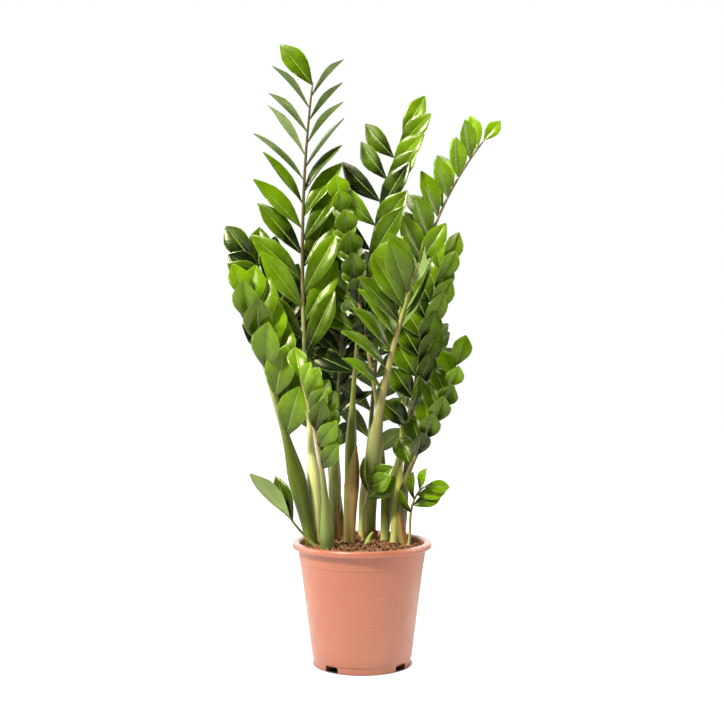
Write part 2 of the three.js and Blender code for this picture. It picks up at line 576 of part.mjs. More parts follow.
const sheaths = SHEATHS.map((sheath) => {
  const { frond, curve } = plantNamed(sheath.on);
  return { sheath, solid: sheathSolid(sheath, frond, curve), frond, curve };
});
const shoot = shootSolid(SHOOT);

// The leaflets go on from the front of the plant to the back. Each one gives way to the stems,
// sheaths and leaflets of the other fronds that are there before it.
const fixed = [
  ...plants.map(({ frond, curve, sides }) => ({
    owner: frond.name,
    solid: stemSolid(frond, curve, sides, CLEAR_OF_STEMS),
  })),
  ...sheaths.map(({ solid, sheath }) => ({ owner: sheath.name, solid })),
  { owner: SHOOT.name, solid: shoot },
];
for (const plant of plants) {
  const { frond, curve } = plant;
  const own = [];
  plant.blades = [];
  for (let i = frond.leaves[0] - 1; i >= 0; i -= 1) {
    if (frond.fallen?.includes(i)) continue;
    const leaf = leafletOf(frond, curve, i);
    let placed = null;
    for (const size of SHORTENINGS) {
      for (const bend of BENDS) {
        const axes = leafAxes(leaf, bend);
        const guard = bladeSolid(leaf, axes, size * 1.02, LEAF_RIB + CLEAR_OF_OTHERS);
        const free = bladeSolid(leaf, axes, size, LEAF_RIB, 1);
        const blocked = fixed.some((other) => other.owner !== frond.name && meets(guard, other.solid))
          || own.some((sibling) => meets(free, sibling));
        if (!blocked) {
          placed = { solid: bladeSolid(leaf, axes, size, LEAF_RIB), guard, free };
          break;
        }
      }
      if (placed) break;
    }
    if (placed) {
      plant.blades.push(placed.solid);
      own.push(placed.free);
      fixed.push({ owner: frond.name, solid: placed.guard });
    }
  }
}

const zzPlant = new THREE.Group();
zzPlant.add(piece('pot', toGeometry(makePot()), POT_PLASTIC));

const buriedStems = plants.map(({ frond, curve, sides }) => stemSolid(frond, curve, sides, GAP));
const rhizomes = RHIZOMES.map((rhizome) => ({
  rhizome,
  solid: buriedStems.reduce((body, stem) => body.subtract(stem), rhizomeSolid(rhizome)),
}));
const holes = [
  ...buriedStems,
  ...sheaths.map(({ sheath, frond, curve }) => sheathSolid(sheath, frond, curve, GAP)),
  shootSolid(SHOOT, GAP),
  ...RHIZOMES.map((rhizome) => rhizomeSolid(rhizome, GAP)),
];
zzPlant.add(piece('soil', toGeometry(makeSoil(holes)), SOIL_PEAT));
for (const { rhizome, solid } of rhizomes) {
  zzPlant.add(piece(rhizome.name, toGeometry(solid), RHIZOME_SKIN));
}
for (const { frond, stem, blades } of plants) {
  const whole = blades.reduce((body, blade) => body.add(blade), stem);
  zzPlant.add(piece(frond.name, toGeometry(whole), LEAF_GREEN));
}
for (const { sheath, solid } of sheaths) zzPlant.add(piece(sheath.name, toGeometry(solid), DRY_SHEATH));
zzPlant.add(piece(SHOOT.name, toGeometry(shoot), SHOOT_GREEN));

export default zzPlant;
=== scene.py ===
import math
import random

import bpy
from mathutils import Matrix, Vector, kdtree, noise


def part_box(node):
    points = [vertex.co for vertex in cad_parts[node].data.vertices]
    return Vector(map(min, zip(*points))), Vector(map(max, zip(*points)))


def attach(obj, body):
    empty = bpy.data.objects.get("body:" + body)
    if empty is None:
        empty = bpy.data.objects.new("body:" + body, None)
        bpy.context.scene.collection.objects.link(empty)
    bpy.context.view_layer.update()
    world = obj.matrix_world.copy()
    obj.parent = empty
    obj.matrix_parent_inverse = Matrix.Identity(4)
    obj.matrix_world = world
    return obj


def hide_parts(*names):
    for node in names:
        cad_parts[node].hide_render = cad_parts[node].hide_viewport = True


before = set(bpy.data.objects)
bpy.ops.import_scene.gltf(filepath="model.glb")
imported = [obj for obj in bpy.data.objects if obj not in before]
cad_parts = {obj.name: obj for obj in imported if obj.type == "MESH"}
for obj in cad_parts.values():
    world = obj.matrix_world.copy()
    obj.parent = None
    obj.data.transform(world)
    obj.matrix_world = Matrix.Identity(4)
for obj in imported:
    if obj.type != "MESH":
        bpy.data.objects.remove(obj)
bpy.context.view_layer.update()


# ---------------------------------------------------------------- camera
# The photograph is taken level with the middle of the plant, square to the front of the pot.

CAMERA_DISTANCE = 1.661
CAMERA_HEIGHT = 0.454
CAMERA_LENS = 54.6
CAMERA_SENSOR = 36


def added(operator, name, **options):
    """What one of Blender's operators adds, under its own name and selected alone."""
    bpy.ops.object.select_all(action="DESELECT")
    operator(**options)
    bpy.context.object.name = name
    return bpy.context.object


camera = added(
    bpy.ops.object.camera_add,
    "camera",
    location=(0, -CAMERA_DISTANCE, CAMERA_HEIGHT),
    rotation=(math.radians(90), 0, 0),
)
camera.data.lens = CAMERA_LENS
camera.data.sensor_width = CAMERA_SENSOR
bpy.context.scene.camera = camera
bpy.context.scene.view_settings.view_transform = "Standard"


# ---------------------------------------------------------------- pot
# A thin-walled nursery pot, injection moulded in terracotta-coloured polypropylene. It has a rolled
# lip, a stacking step below it, and a foot ring with four drainage notches.

MM = 0.001
POT_STEPS = 112
POT_LIP_DROP = 9.5
POT_WALL_TOP = 96.0
POT_WALL_FOOT = 75.0
POT_FOOT_HEIGHT = 11.0
POT_BAND_HEIGHT = 153.0
POT_BAND_STEP = 0.9
POT_FOOT_RADIUS = 72.5
POT_RING_INSIDE = 62
POT_UNDERSIDE = 3
POT_FLOOR = 5.5
NOTCH_ANGLES = (-38, 52, 142, 232)
NOTCH_SIZE = (26, 23, 18)
TERRACOTTA = (182, 102, 70)
TERRACOTTA_PALE = (191, 115, 85)
TERRACOTTA_DEEP = (172, 92, 62)
SCUFF = (236, 190, 166)


def colour(red, green, blue):
    """A colour as it looks, from 0 to 255, as the linear values that a shader takes."""
    return (*(((part / 255 + 0.055) / 1.055) ** 2.4 for part in (red, green, blue)), 1.0)


def feed(tree, socket, value):
    """Gives a socket a plain value or the output of another node."""
    if isinstance(value, bpy.types.NodeSocket):
        tree.links.new(value, socket)
    else:
        socket.default_value = value


def add_node(tree, kind, settings=None, **inputs):
    """A node with its settings and its inputs, which are values or the outputs of other nodes."""
    node = tree.nodes.new(kind)
    for key, value in (settings or {}).items():
        setattr(node, key, value)
    for label, value in inputs.items():
        feed(tree, node.inputs[label.replace("_", " ")], value)
    return node


def new_material(name, **sockets):
    """A material whose shader has the given plain values: it, its node tree and its shader."""
    material = bpy.data.materials.new(name)
    material.use_nodes = True
    shader = material.node_tree.nodes["Principled BSDF"]
    for label, value in sockets.items():
        shader.inputs[label.replace("_", " ")].default_value = value
    return material, material.node_tree, shader


def surface(tree, shader, body, roughness, normal):
    """Links a colour, a roughness and a normal to the shader."""
    tree.links.new(body, shader.inputs["Base Color"])
    tree.links.new(roughness, shader.inputs["Roughness"])
    tree.links.new(normal, shader.inputs["Normal"])


def blend_colours(tree, share, first, second):
    """The first colour where share is 0 and the second where it is 1."""
    node = add_node(tree, "ShaderNodeMix", {"data_type": "RGBA"})
    shares = [socket for socket in node.inputs if socket.type == "VALUE"]
    colours = [socket for socket in node.inputs if socket.type == "RGBA"]
    for socket, value in zip((shares[0], *colours), (share, first, second)):
        feed(tree, socket, value)
    return next(socket for socket in node.outputs if socket.type == "RGBA")


def calculate(tree, operation, *terms):
    """The output of a Math node."""
    node = add_node(tree, "ShaderNodeMath", {"operation": operation})
    for socket, value in zip(node.inputs, terms):
        feed(tree, socket, value)
    return node.outputs[0]


def scaled(tree, mask, factor, offset=0.0):
    """A mask times a factor, with an offset added."""
    return calculate(tree, "MULTIPLY_ADD", mask, factor, offset)


def two_tones(tree, mask, low, high):
    """One colour where the mask is 0 and another where it is 1."""
    return blend_colours(tree, mask, colour(*low), colour(*high))


def tinted(tree, body, mask, strength, tint):
    """A colour with a tint laid over it where the mask is high."""
    return blend_colours(tree, scaled(tree, mask, strength), body, colour(*tint))


def ramp(tree, value, low, high, start=0.0, end=1.0):
    """Goes from start to end while the value goes from low to high, and stays level outside."""
    limits = dict(From_Min=low, From_Max=high, To_Min=start, To_Max=end)
    return add_node(tree, "ShaderNodeMapRange", Value=value, **limits).outputs["Result"]


def shader_group(name, output, kind, **inputs):
    """A node group that is given a place and the inputs: its tree, its inputs and its output node."""
    tree = bpy.data.node_groups.new(name, "ShaderNodeTree")
    tree.interface.new_socket(name="Place", in_out="INPUT", socket_type="NodeSocketVector")
    for label, value in inputs.items():
        socket = tree.interface.new_socket(name=label, in_out="INPUT", socket_type="NodeSocketFloat")
        socket.default_value = value
    tree.interface.new_socket(name=output, in_out="OUTPUT", socket_type=kind)
    return tree, tree.nodes.new("NodeGroupInput").outputs, tree.nodes.new("NodeGroupOutput")


# Patches: soft irregular areas, 1 where they are strongest.
patches_tree, given, result = shader_group(
    "patches", "Mask", "NodeSocketFloat", Scale=20.0, Detail=3.0, From=0.4, To=0.6
)
cloud = add_node(
    patches_tree,
    "ShaderNodeTexNoise",
    Vector=given["Place"],
    Scale=given["Scale"],
    Detail=given["Detail"],
)
mask = ramp(patches_tree, cloud.outputs["Fac"], given["From"], given["To"])
patches_tree.links.new(mask, result.inputs["Mask"])

# Grain: the normal of a finely uneven surface.
grain_tree, given, result = shader_group(
    "grain", "Normal", "NodeSocketVector", Scale=400.0, Depth=0.0002
)
cloud = add_node(
    grain_tree, "ShaderNodeTexNoise", Vector=given["Place"], Scale=given["Scale"], Detail=4.0
)
relief = add_node(grain_tree, "ShaderNodeBump", Height=cloud.outputs["Fac"], Distance=given["Depth"])
grain_tree.links.new(relief.outputs["Normal"], result.inputs["Normal"])


def patches(tree, place, scale, detail, low, high):
    """The mask of the patches group."""
    group = {"node_tree": patches_tree}
    node = add_node(
        tree, "ShaderNodeGroup", group, Place=place, Scale=scale, Detail=detail, From=low, To=high
    )
    return node.outputs["Mask"]


def grain(tree, place, scale, depth):
    """The normal of the grain group."""
    group = {"node_tree": grain_tree}
    node = add_node(tree, "ShaderNodeGroup", group, Place=place, Scale=scale, Depth=depth)
    return node.outputs["Normal"]


def object_place(tree):
    """Coordinates that stay with the piece, in metres."""
    return tree.nodes.new("ShaderNodeTexCoord").outputs["Object"]


def stretched(tree, place, scale):
    """Coordinates that are stretched along an axis, for scratches and streaks."""
    return add_node(tree, "ShaderNodeMapping", Vector=place, Scale=scale).outputs["Vector"]


def pot_material():
    material, tree, shader = new_material(
        "pot_satin_plastic", Specular_IOR_Level=0.8, Coat_Weight=0.6, Coat_Roughness=0.25
    )
    place = object_place(tree)
    clouded = patches(tree, place, 9.0, 4.0, 0.35, 0.68)
    body = two_tones(tree, clouded, TERRACOTTA, TERRACOTTA_PALE)
    flow = patches(tree, stretched(tree, place, (60, 60, 4)), 1.0, 3.0, 0.5, 0.8)
    body = tinted(tree, body, flow, 0.3, TERRACOTTA_DEEP)
    scuffs = patches(tree, stretched(tree, place, (40, 40, 420)), 1.0, 5.0, 0.66, 0.74)
    body = tinted(tree, body, scuffs, 0.15, SCUFF)
    worn = patches(tree, place, 60.0, 6.0, 0.3, 0.75)
    surface(tree, shader, body, scaled(tree, worn, 0.16, 0.34), grain(tree, place, 260.0, 0.00025))
    return material


def spun_body(name, profile, steps):
    """A closed body turned about the pot's axis, from a profile that starts and ends on it."""
    start = (profile[0][0], 0, profile[0][1])
    body = added(bpy.ops.mesh.primitive_plane_add, name, size=MM, location=start)
    bpy.ops.object.mode_set(mode="EDIT")
    bpy.ops.mesh.merge(type="CENTER")
    for (x0, z0), (x1, z1) in zip(profile, profile[1:]):
        bpy.ops.mesh.extrude_region_move(TRANSFORM_OT_translate={"value": (x1 - x0, 0, z1 - z0)})
    bpy.ops.mesh.select_all(action="SELECT")
    bpy.ops.mesh.spin(steps=steps, angle=2 * math.pi, center=(0, 0, 0), axis=(0, 0, 1))
    bpy.ops.mesh.select_all(action="SELECT")
    bpy.ops.mesh.remove_doubles(threshold=0.00001)
    bpy.ops.mesh.normals_make_consistent(inside=False)
    bpy.ops.object.mode_set(mode="OBJECT")
    bpy.ops.object.transform_apply(location=True, rotation=True, scale=True)
    return body


def take_up(piece):
    """Makes a piece the active one, and the only one that is selected."""
    bpy.ops.object.select_all(action="DESELECT")
    piece.select_set(True)
    bpy.context.view_layer.objects.active = piece


def cut_away(body, cutter):
    """Takes the cutter's shape out of the body."""
    cut = body.modifiers.new("cut", "BOOLEAN")
    cut.operation = "DIFFERENCE"
    cut.object = cutter
    cut.solver = "EXACT"
    take_up(body)
    bpy.ops.object.modifier_apply(modifier=cut.name)
    bpy.data.objects.remove(cutter)


def finish_piece(piece, slot, material, *nodes):
    """Gives a piece its material, and puts it in place of its CAD nodes. The slot is not used."""
    piece.data.materials.clear()
    piece.data.materials.append(material)
    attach(piece, "root")
    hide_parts(*nodes)


def rounded(centre, radius, first, last, points):
    """Points on an arc of the profile, between two angles in degrees."""
    angles = (math.radians(first + (last - first) * i / (points - 1)) for i in range(points))
    return [(centre[0] + radius * math.cos(a), centre[1] + radius * math.sin(a)) for a in angles]


pot_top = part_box("pot")[1]
rim_radius = pot_top.x / MM
pot_height = pot_top.z / MM
lip_bottom = pot_height - POT_LIP_DROP


def wall_radius(height):
    """The outside of the pot's wall."""
    share = (height - POT_FOOT_HEIGHT) / (lip_bottom - POT_FOOT_HEIGHT)
    return POT_WALL_FOOT + (POT_WALL_TOP - POT_WALL_FOOT) * share


band = wall_radius(POT_BAND_HEIGHT)
pot_profile = [
    (0, POT_UNDERSIDE),
    (POT_RING_INSIDE - 2, POT_UNDERSIDE),
    (POT_RING_INSIDE - 0.6, 0.3),
    (POT_RING_INSIDE, 0),
    *rounded((POT_FOOT_RADIUS - 1, 1), 1, -90, 0, 4),
    (POT_FOOT_RADIUS + 0.7, POT_FOOT_HEIGHT - 1.8),
    (POT_FOOT_RADIUS + 1.1, POT_FOOT_HEIGHT - 0.9),
    (POT_WALL_FOOT - 0.5, POT_FOOT_HEIGHT - 0.4),
    (wall_radius(POT_FOOT_HEIGHT + 0.6), POT_FOOT_HEIGHT + 0.6),
    *((wall_radius(z), z) for z in (30, 60, 90, 120, 150)),
    (band, POT_BAND_HEIGHT),
    (band + POT_BAND_STEP * 0.8, POT_BAND_HEIGHT + 0.7),
    (band + POT_BAND_STEP, POT_BAND_HEIGHT + 1.6),
    (POT_WALL_TOP + POT_BAND_STEP / 2, lip_bottom - 0.8),
    (POT_WALL_TOP + 1.4, lip_bottom + 0.2),
    *rounded((rim_radius - 2.8, lip_bottom + 2.9), 2.8, -88, 0, 6),
    *rounded((rim_radius - 3.2, pot_height - 3.2), 3.2, 0, 90, 7),
    (POT_WALL_TOP + 1.4, pot_height),
    (POT_WALL_TOP - 0.4, pot_height - 0.7),
    (POT_WALL_TOP - 1.6, pot_height - 2.2),
    (POT_WALL_TOP - 2.1, pot_height - 4),
    (wall_radius(8) - 3, 8),
    (wall_radius(8) - 5.5, POT_FLOOR),
    (0, POT_FLOOR),
]
pot = spun_body("nursery_pot", [(x * MM, z * MM) for x, z in pot_profile], POT_STEPS)
for angle in NOTCH_ANGLES:
    turn = math.radians(angle)
    notch = added(
        bpy.ops.mesh.primitive_cube_add,
        "notch",
        size=MM,
        location=(POT_FOOT_RADIUS * MM * math.cos(turn), POT_FOOT_RADIUS * MM * math.sin(turn), 0),
        rotation=(0, 0, turn),
        scale=NOTCH_SIZE,
    )
    edges = notch.modifiers.new("round", "BEVEL")
    edges.width = 3 * MM
    edges.segments = 3
    bpy.ops.object.modifier_apply(modifier=edges.name)
    cut_away(pot, notch)
take_up(pot)
bpy.ops.object.shade_smooth_by_angle(angle=math.radians(32))
finish_piece(pot, "pot_plastic", pot_material(), "pot")


# ---------------------------------------------------------------- soil
# Coarse potting peat that fills the pot to just under its rim. Its surface is lumpy, with loose
# crumbs, chips of bark and pale root fibres on it.

SOIL_LEVEL = 180
SOIL_EDGE_DROP = 4
SOIL_LUMP = 1.8
SOIL_STEPS = 150
SOIL_RING_WIDTH = 1.9
SOIL_SURFACE_FROM = 150
CRUMBS = 700
CHIPS = 120
FIBRES = 110
PEAT_DARK = (12, 6, 3)
PEAT_PALE = (150, 104, 70)
PEAT_FLECK = (216, 178, 138)
CRUMB_TONES = ((12, 6, 3), (170, 120, 82))
BARK_TONES = ((104, 58, 34), (220, 174, 134))
FIBRE_TONES = ((168, 122, 84), (222, 190, 152))


def lumps(x, y):
    """The slow waves of the soil's surface, in millimetres."""
    return SOIL_LUMP * (
        math.sin(x * 0.21 + 1.3) * math.cos(y * 0.17 - 0.4)
        + 0.7 * math.sin(x * 0.11 - y * 0.26 + 2.1)
        + 0.5 * math.cos(x * 0.37 + y * 0.31)
    )


def soil_height(x, y):
    """The height of the soil's surface, in millimetres, with its crumbly texture."""
    from_axis = math.hypot(x, y) / soil_radius
    fade = min(1, max(0, (1 - from_axis) / 0.06))
    crumbly = noise.fractal(Vector((x * 0.16, y * 0.16, 3.0)), 0.7, 2.1, 5) * 2.6
    return SOIL_LEVEL - SOIL_EDGE_DROP * from_axis**4 + (lumps(x, y) * 0.8 + crumbly) * fade


def soil_material():
    material, tree, shader = new_material("soil_peat", Specular_IOR_Level=0.04)
    place = object_place(tree)
    coarse = patches(tree, place, 170.0, 6.0, 0.42, 0.6)
    body = two_tones(tree, coarse, PEAT_DARK, PEAT_PALE)
    bits = patches(tree, place, 620.0, 2.0, 0.62, 0.68)
    body = tinted(tree, body, bits, 0.8, PEAT_FLECK)
    surface(tree, shader, body, scaled(tree, coarse, -0.15, 0.95), grain(tree, place, 700.0, 0.0012))
    return material


def litter_material(name, tones, scale):
    """Bark chips, crumbs and fibres: two tones in patches, and a rough grain."""
    material, tree, shader = new_material(name, Specular_IOR_Level=0.06)
    place = object_place(tree)
    mixed = patches(tree, place, scale, 4.0, 0.4, 0.6)
    body = two_tones(tree, mixed, *tones)
    surface(tree, shader, body, scaled(tree, mixed, -0.2, 0.9), grain(tree, place, 900.0, 0.0006))
    return material


def joined(name, parts):
    """One piece made of many parts, at the origin."""
    bpy.ops.object.select_all(action="DESELECT")
    for part in parts:
        part.select_set(True)
    bpy.context.view_layer.objects.active = parts[0]
    bpy.ops.object.join()
    piece = bpy.context.object
    piece.name = name
    piece.data.name = name
    bpy.ops.object.transform_apply(location=True, rotation=True, scale=True)
    return piece


def copy_of(blank, place=(0, 0, 0), turn=(0, 0, 0), size=(1, 1, 1)):
    """A copy of a blank with its own mesh."""
    twin = blank.copy()
    twin.data = blank.data.copy()
    twin.location = place
    twin.rotation_euler = turn
    twin.scale = size
    bpy.context.scene.collection.objects.link(twin)
    return twin


soil_low, soil_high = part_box("soil")
soil_radius = soil_high.x / MM
soil_foot = soil_low.z / MM
soil_rings = [soil_radius - SOIL_RING_WIDTH * i for i in range(int(soil_radius / SOIL_RING_WIDTH))]
soil_profile = [
    (0, soil_foot),
    (wall_radius(soil_foot) - 5, soil_foot),
    (wall_radius(90) - 4, 90),
    *((radius, SOIL_LEVEL - SOIL_EDGE_DROP) for radius in soil_rings),
    (0, SOIL_LEVEL),
]
soil = spun_body("soil_fill", [(x * MM, z * MM) for x, z in soil_profile], SOIL_STEPS)
for vertex in soil.data.vertices:
    if vertex.co.z > SOIL_SURFACE_FROM * MM:
        vertex.co.z = soil_height(vertex.co.x / MM, vertex.co.y / MM) * MM
bpy.ops.object.shade_smooth()
finish_piece(soil, "soil", soil_material(), "soil")

scatter = random.Random(11)


def scattered_place(edge):
    """A place on the soil: the azimuth is even, and the distance fills the disc."""
    azimuth = scatter.uniform(0, 2 * math.pi)
    reach = edge * math.sqrt(scatter.random())
    x, y = reach * math.cos(azimuth), reach * math.sin(azimuth)
    return Vector((x, y, soil_height(x, y))) * MM


def lay_on_soil(name, blank, litter, finish, tones, scale):
    """Makes the scattered copies of a blank one piece, and puts the blank away."""
    bpy.data.objects.remove(blank)
    finish_piece(joined(name, litter), "soil", litter_material(finish, tones, scale), "soil")


crumb = added(bpy.ops.mesh.primitive_ico_sphere_add, "crumb", subdivisions=1, radius=MM)
bpy.ops.object.mode_set(mode="EDIT")
bpy.ops.transform.vertex_random(offset=0.35 * MM, seed=3)
bpy.ops.object.mode_set(mode="OBJECT")
crumbs = []
for number in range(CRUMBS):
    size = 0.6 + 2.2 * scatter.random() ** 2
    crumbs.append(
        copy_of(
            crumb,
            scattered_place(soil_radius - 1.5) + Vector((0, 0, 0.25 * size * MM)),
            [scatter.uniform(0, math.tau) for axis in range(3)],
            [size * scatter.uniform(0.7, 1.3) for axis in range(3)],
        )
    )
lay_on_soil("soil_crumbs", crumb, crumbs, "soil_crumb", CRUMB_TONES, 180.0)

chip = added(bpy.ops.mesh.primitive_cube_add, "chip", size=MM)
bpy.ops.object.mode_set(mode="EDIT")
bpy.ops.mesh.subdivide(number_cuts=1)
bpy.ops.transform.vertex_random(offset=0.2 * MM, seed=5)
bpy.ops.object.mode_set(mode="OBJECT")
chips = []
for number in range(CHIPS):
    length = scatter.uniform(3, 8)
    chips.append(
        copy_of(
            chip,
            scattered_place(soil_radius - 4) + Vector((0, 0, 0.4 * MM)),
            (scatter.uniform(-0.5, 0.5), scatter.uniform(-0.5, 0.5), scatter.uniform(0, math.tau)),
            (length, length * scatter.uniform(0.25, 0.5), scatter.uniform(0.6, 1.3)),
        )
    )
lay_on_soil("soil_bark_chips", chip, chips, "soil_bark", BARK_TONES, 260.0)

fibre = added(
    bpy.ops.mesh.primitive_cylinder_add, "fibre", vertices=3, radius=0.3 * MM, depth=MM
)
bpy.ops.object.mode_set(mode="EDIT")
bpy.ops.mesh.select_all(action="SELECT")
bpy.ops.mesh.subdivide(number_cuts=3)
bpy.ops.object.mode_set(mode="OBJECT")
fibres = []
for number in range(FIBRES):
    strand = copy_of(fibre, scattered_place(soil_radius - 6) + Vector((0, 0, 0.7 * MM)))
    length = scatter.uniform(5, 15)
    heading = scatter.uniform(0, math.tau)
    bow = scatter.uniform(-0.5, 0.5)
    rise = scatter.uniform(-0.1, 0.35)
    for vertex in strand.data.vertices:
        share = vertex.co.z / MM
        slim = 1 - 0.6 * abs(2 * share)
        forward = share * length * MM
        aside = vertex.co.x * slim + bow * length * (share * share * 4 - 0.3) * 0.25 * MM
        upward = vertex.co.y * slim + rise * length * (share + 0.3) * MM * 0.5
        vertex.co = (
            forward * math.cos(heading) - aside * math.sin(heading),
            forward * math.sin(heading) + aside * math.cos(heading),
            upward,
        )
    fibres.append(strand)
lay_on_soil("soil_fibres", fibre, fibres, "soil_fibre", FIBRE_TONES, 300.0)


# ---------------------------------------------------------------- rhizomes
# The potato-like tubers that the petioles grow from, buried in the soil. Their corky skin is pale
# brown with darker rings and scars.

CORK = (196, 158, 108)
CORK_SCAR = (128, 88, 54)


def rhizome_material():
    material, tree, shader = new_material("rhizome_cork", Specular_IOR_Level=0.3)
    place = object_place(tree)
    scars = patches(tree, stretched(tree, place, (90, 30, 90)), 1.0, 5.0, 0.4, 0.62)
    skin = two_tones(tree, scars, CORK, CORK_SCAR)
    surface(tree, shader, skin, scaled(tree, scars, 0.2, 0.65), grain(tree, place, 320.0, 0.001))
    return material


cork = rhizome_material()
for name in ("rhizome_left", "rhizome_centre", "rhizome_right"):
    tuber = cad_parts[name]
    tuber.data.materials.clear()
    tuber.data.materials.append(cork)


# ---------------------------------------------------------------- stems
# Each frond's petiole swells like a bulb above the soil and goes on as the rachis that carries the
# leaflets. The skin is smooth and glossy, green to olive, with purplish brown flecks higher up.

# What a frond's entry says, in millimetres and degrees, as the frame has it. Azimuths go from the
# front of the plant to its right, and the rows are as seen from the side that the frond faces.
#   route: four points on it; stem: its radius at the soil, the bulb's, the bulb's height, the neck's
#   facing: the azimuth that it faces, low and high; gaze: the blades' azimuth, left and right row
#   leaves: how many, and where along the route they start; fallen: the numbers of those missing
#   size: the largest leaflets' length and width
#   angle: between leaflet and rachis, low and high; open: a factor on it, left and right row
#   lift: how far the leaflets lean out of the frond's plane; twist: their turn about the rib
#   crown: the last leaflet's lean and size, and its own gaze and breadth where it has them
#   droop, fold: how far a blade bows along its length, and how far its halves fold up
#   petiole, rachis, foot: the skin's colours; flecks: how flecked it is; seed: what draws start from
#   tone: 0 for old, dark leaflets and 1 for young, fresh ones; fresher: its rise from low to high
USUAL = dict(
    fallen=(), open=(1, 1), droop=12, fold=12, foot=(206, 208, 130), flecks=0.4, fresher=0.4
)
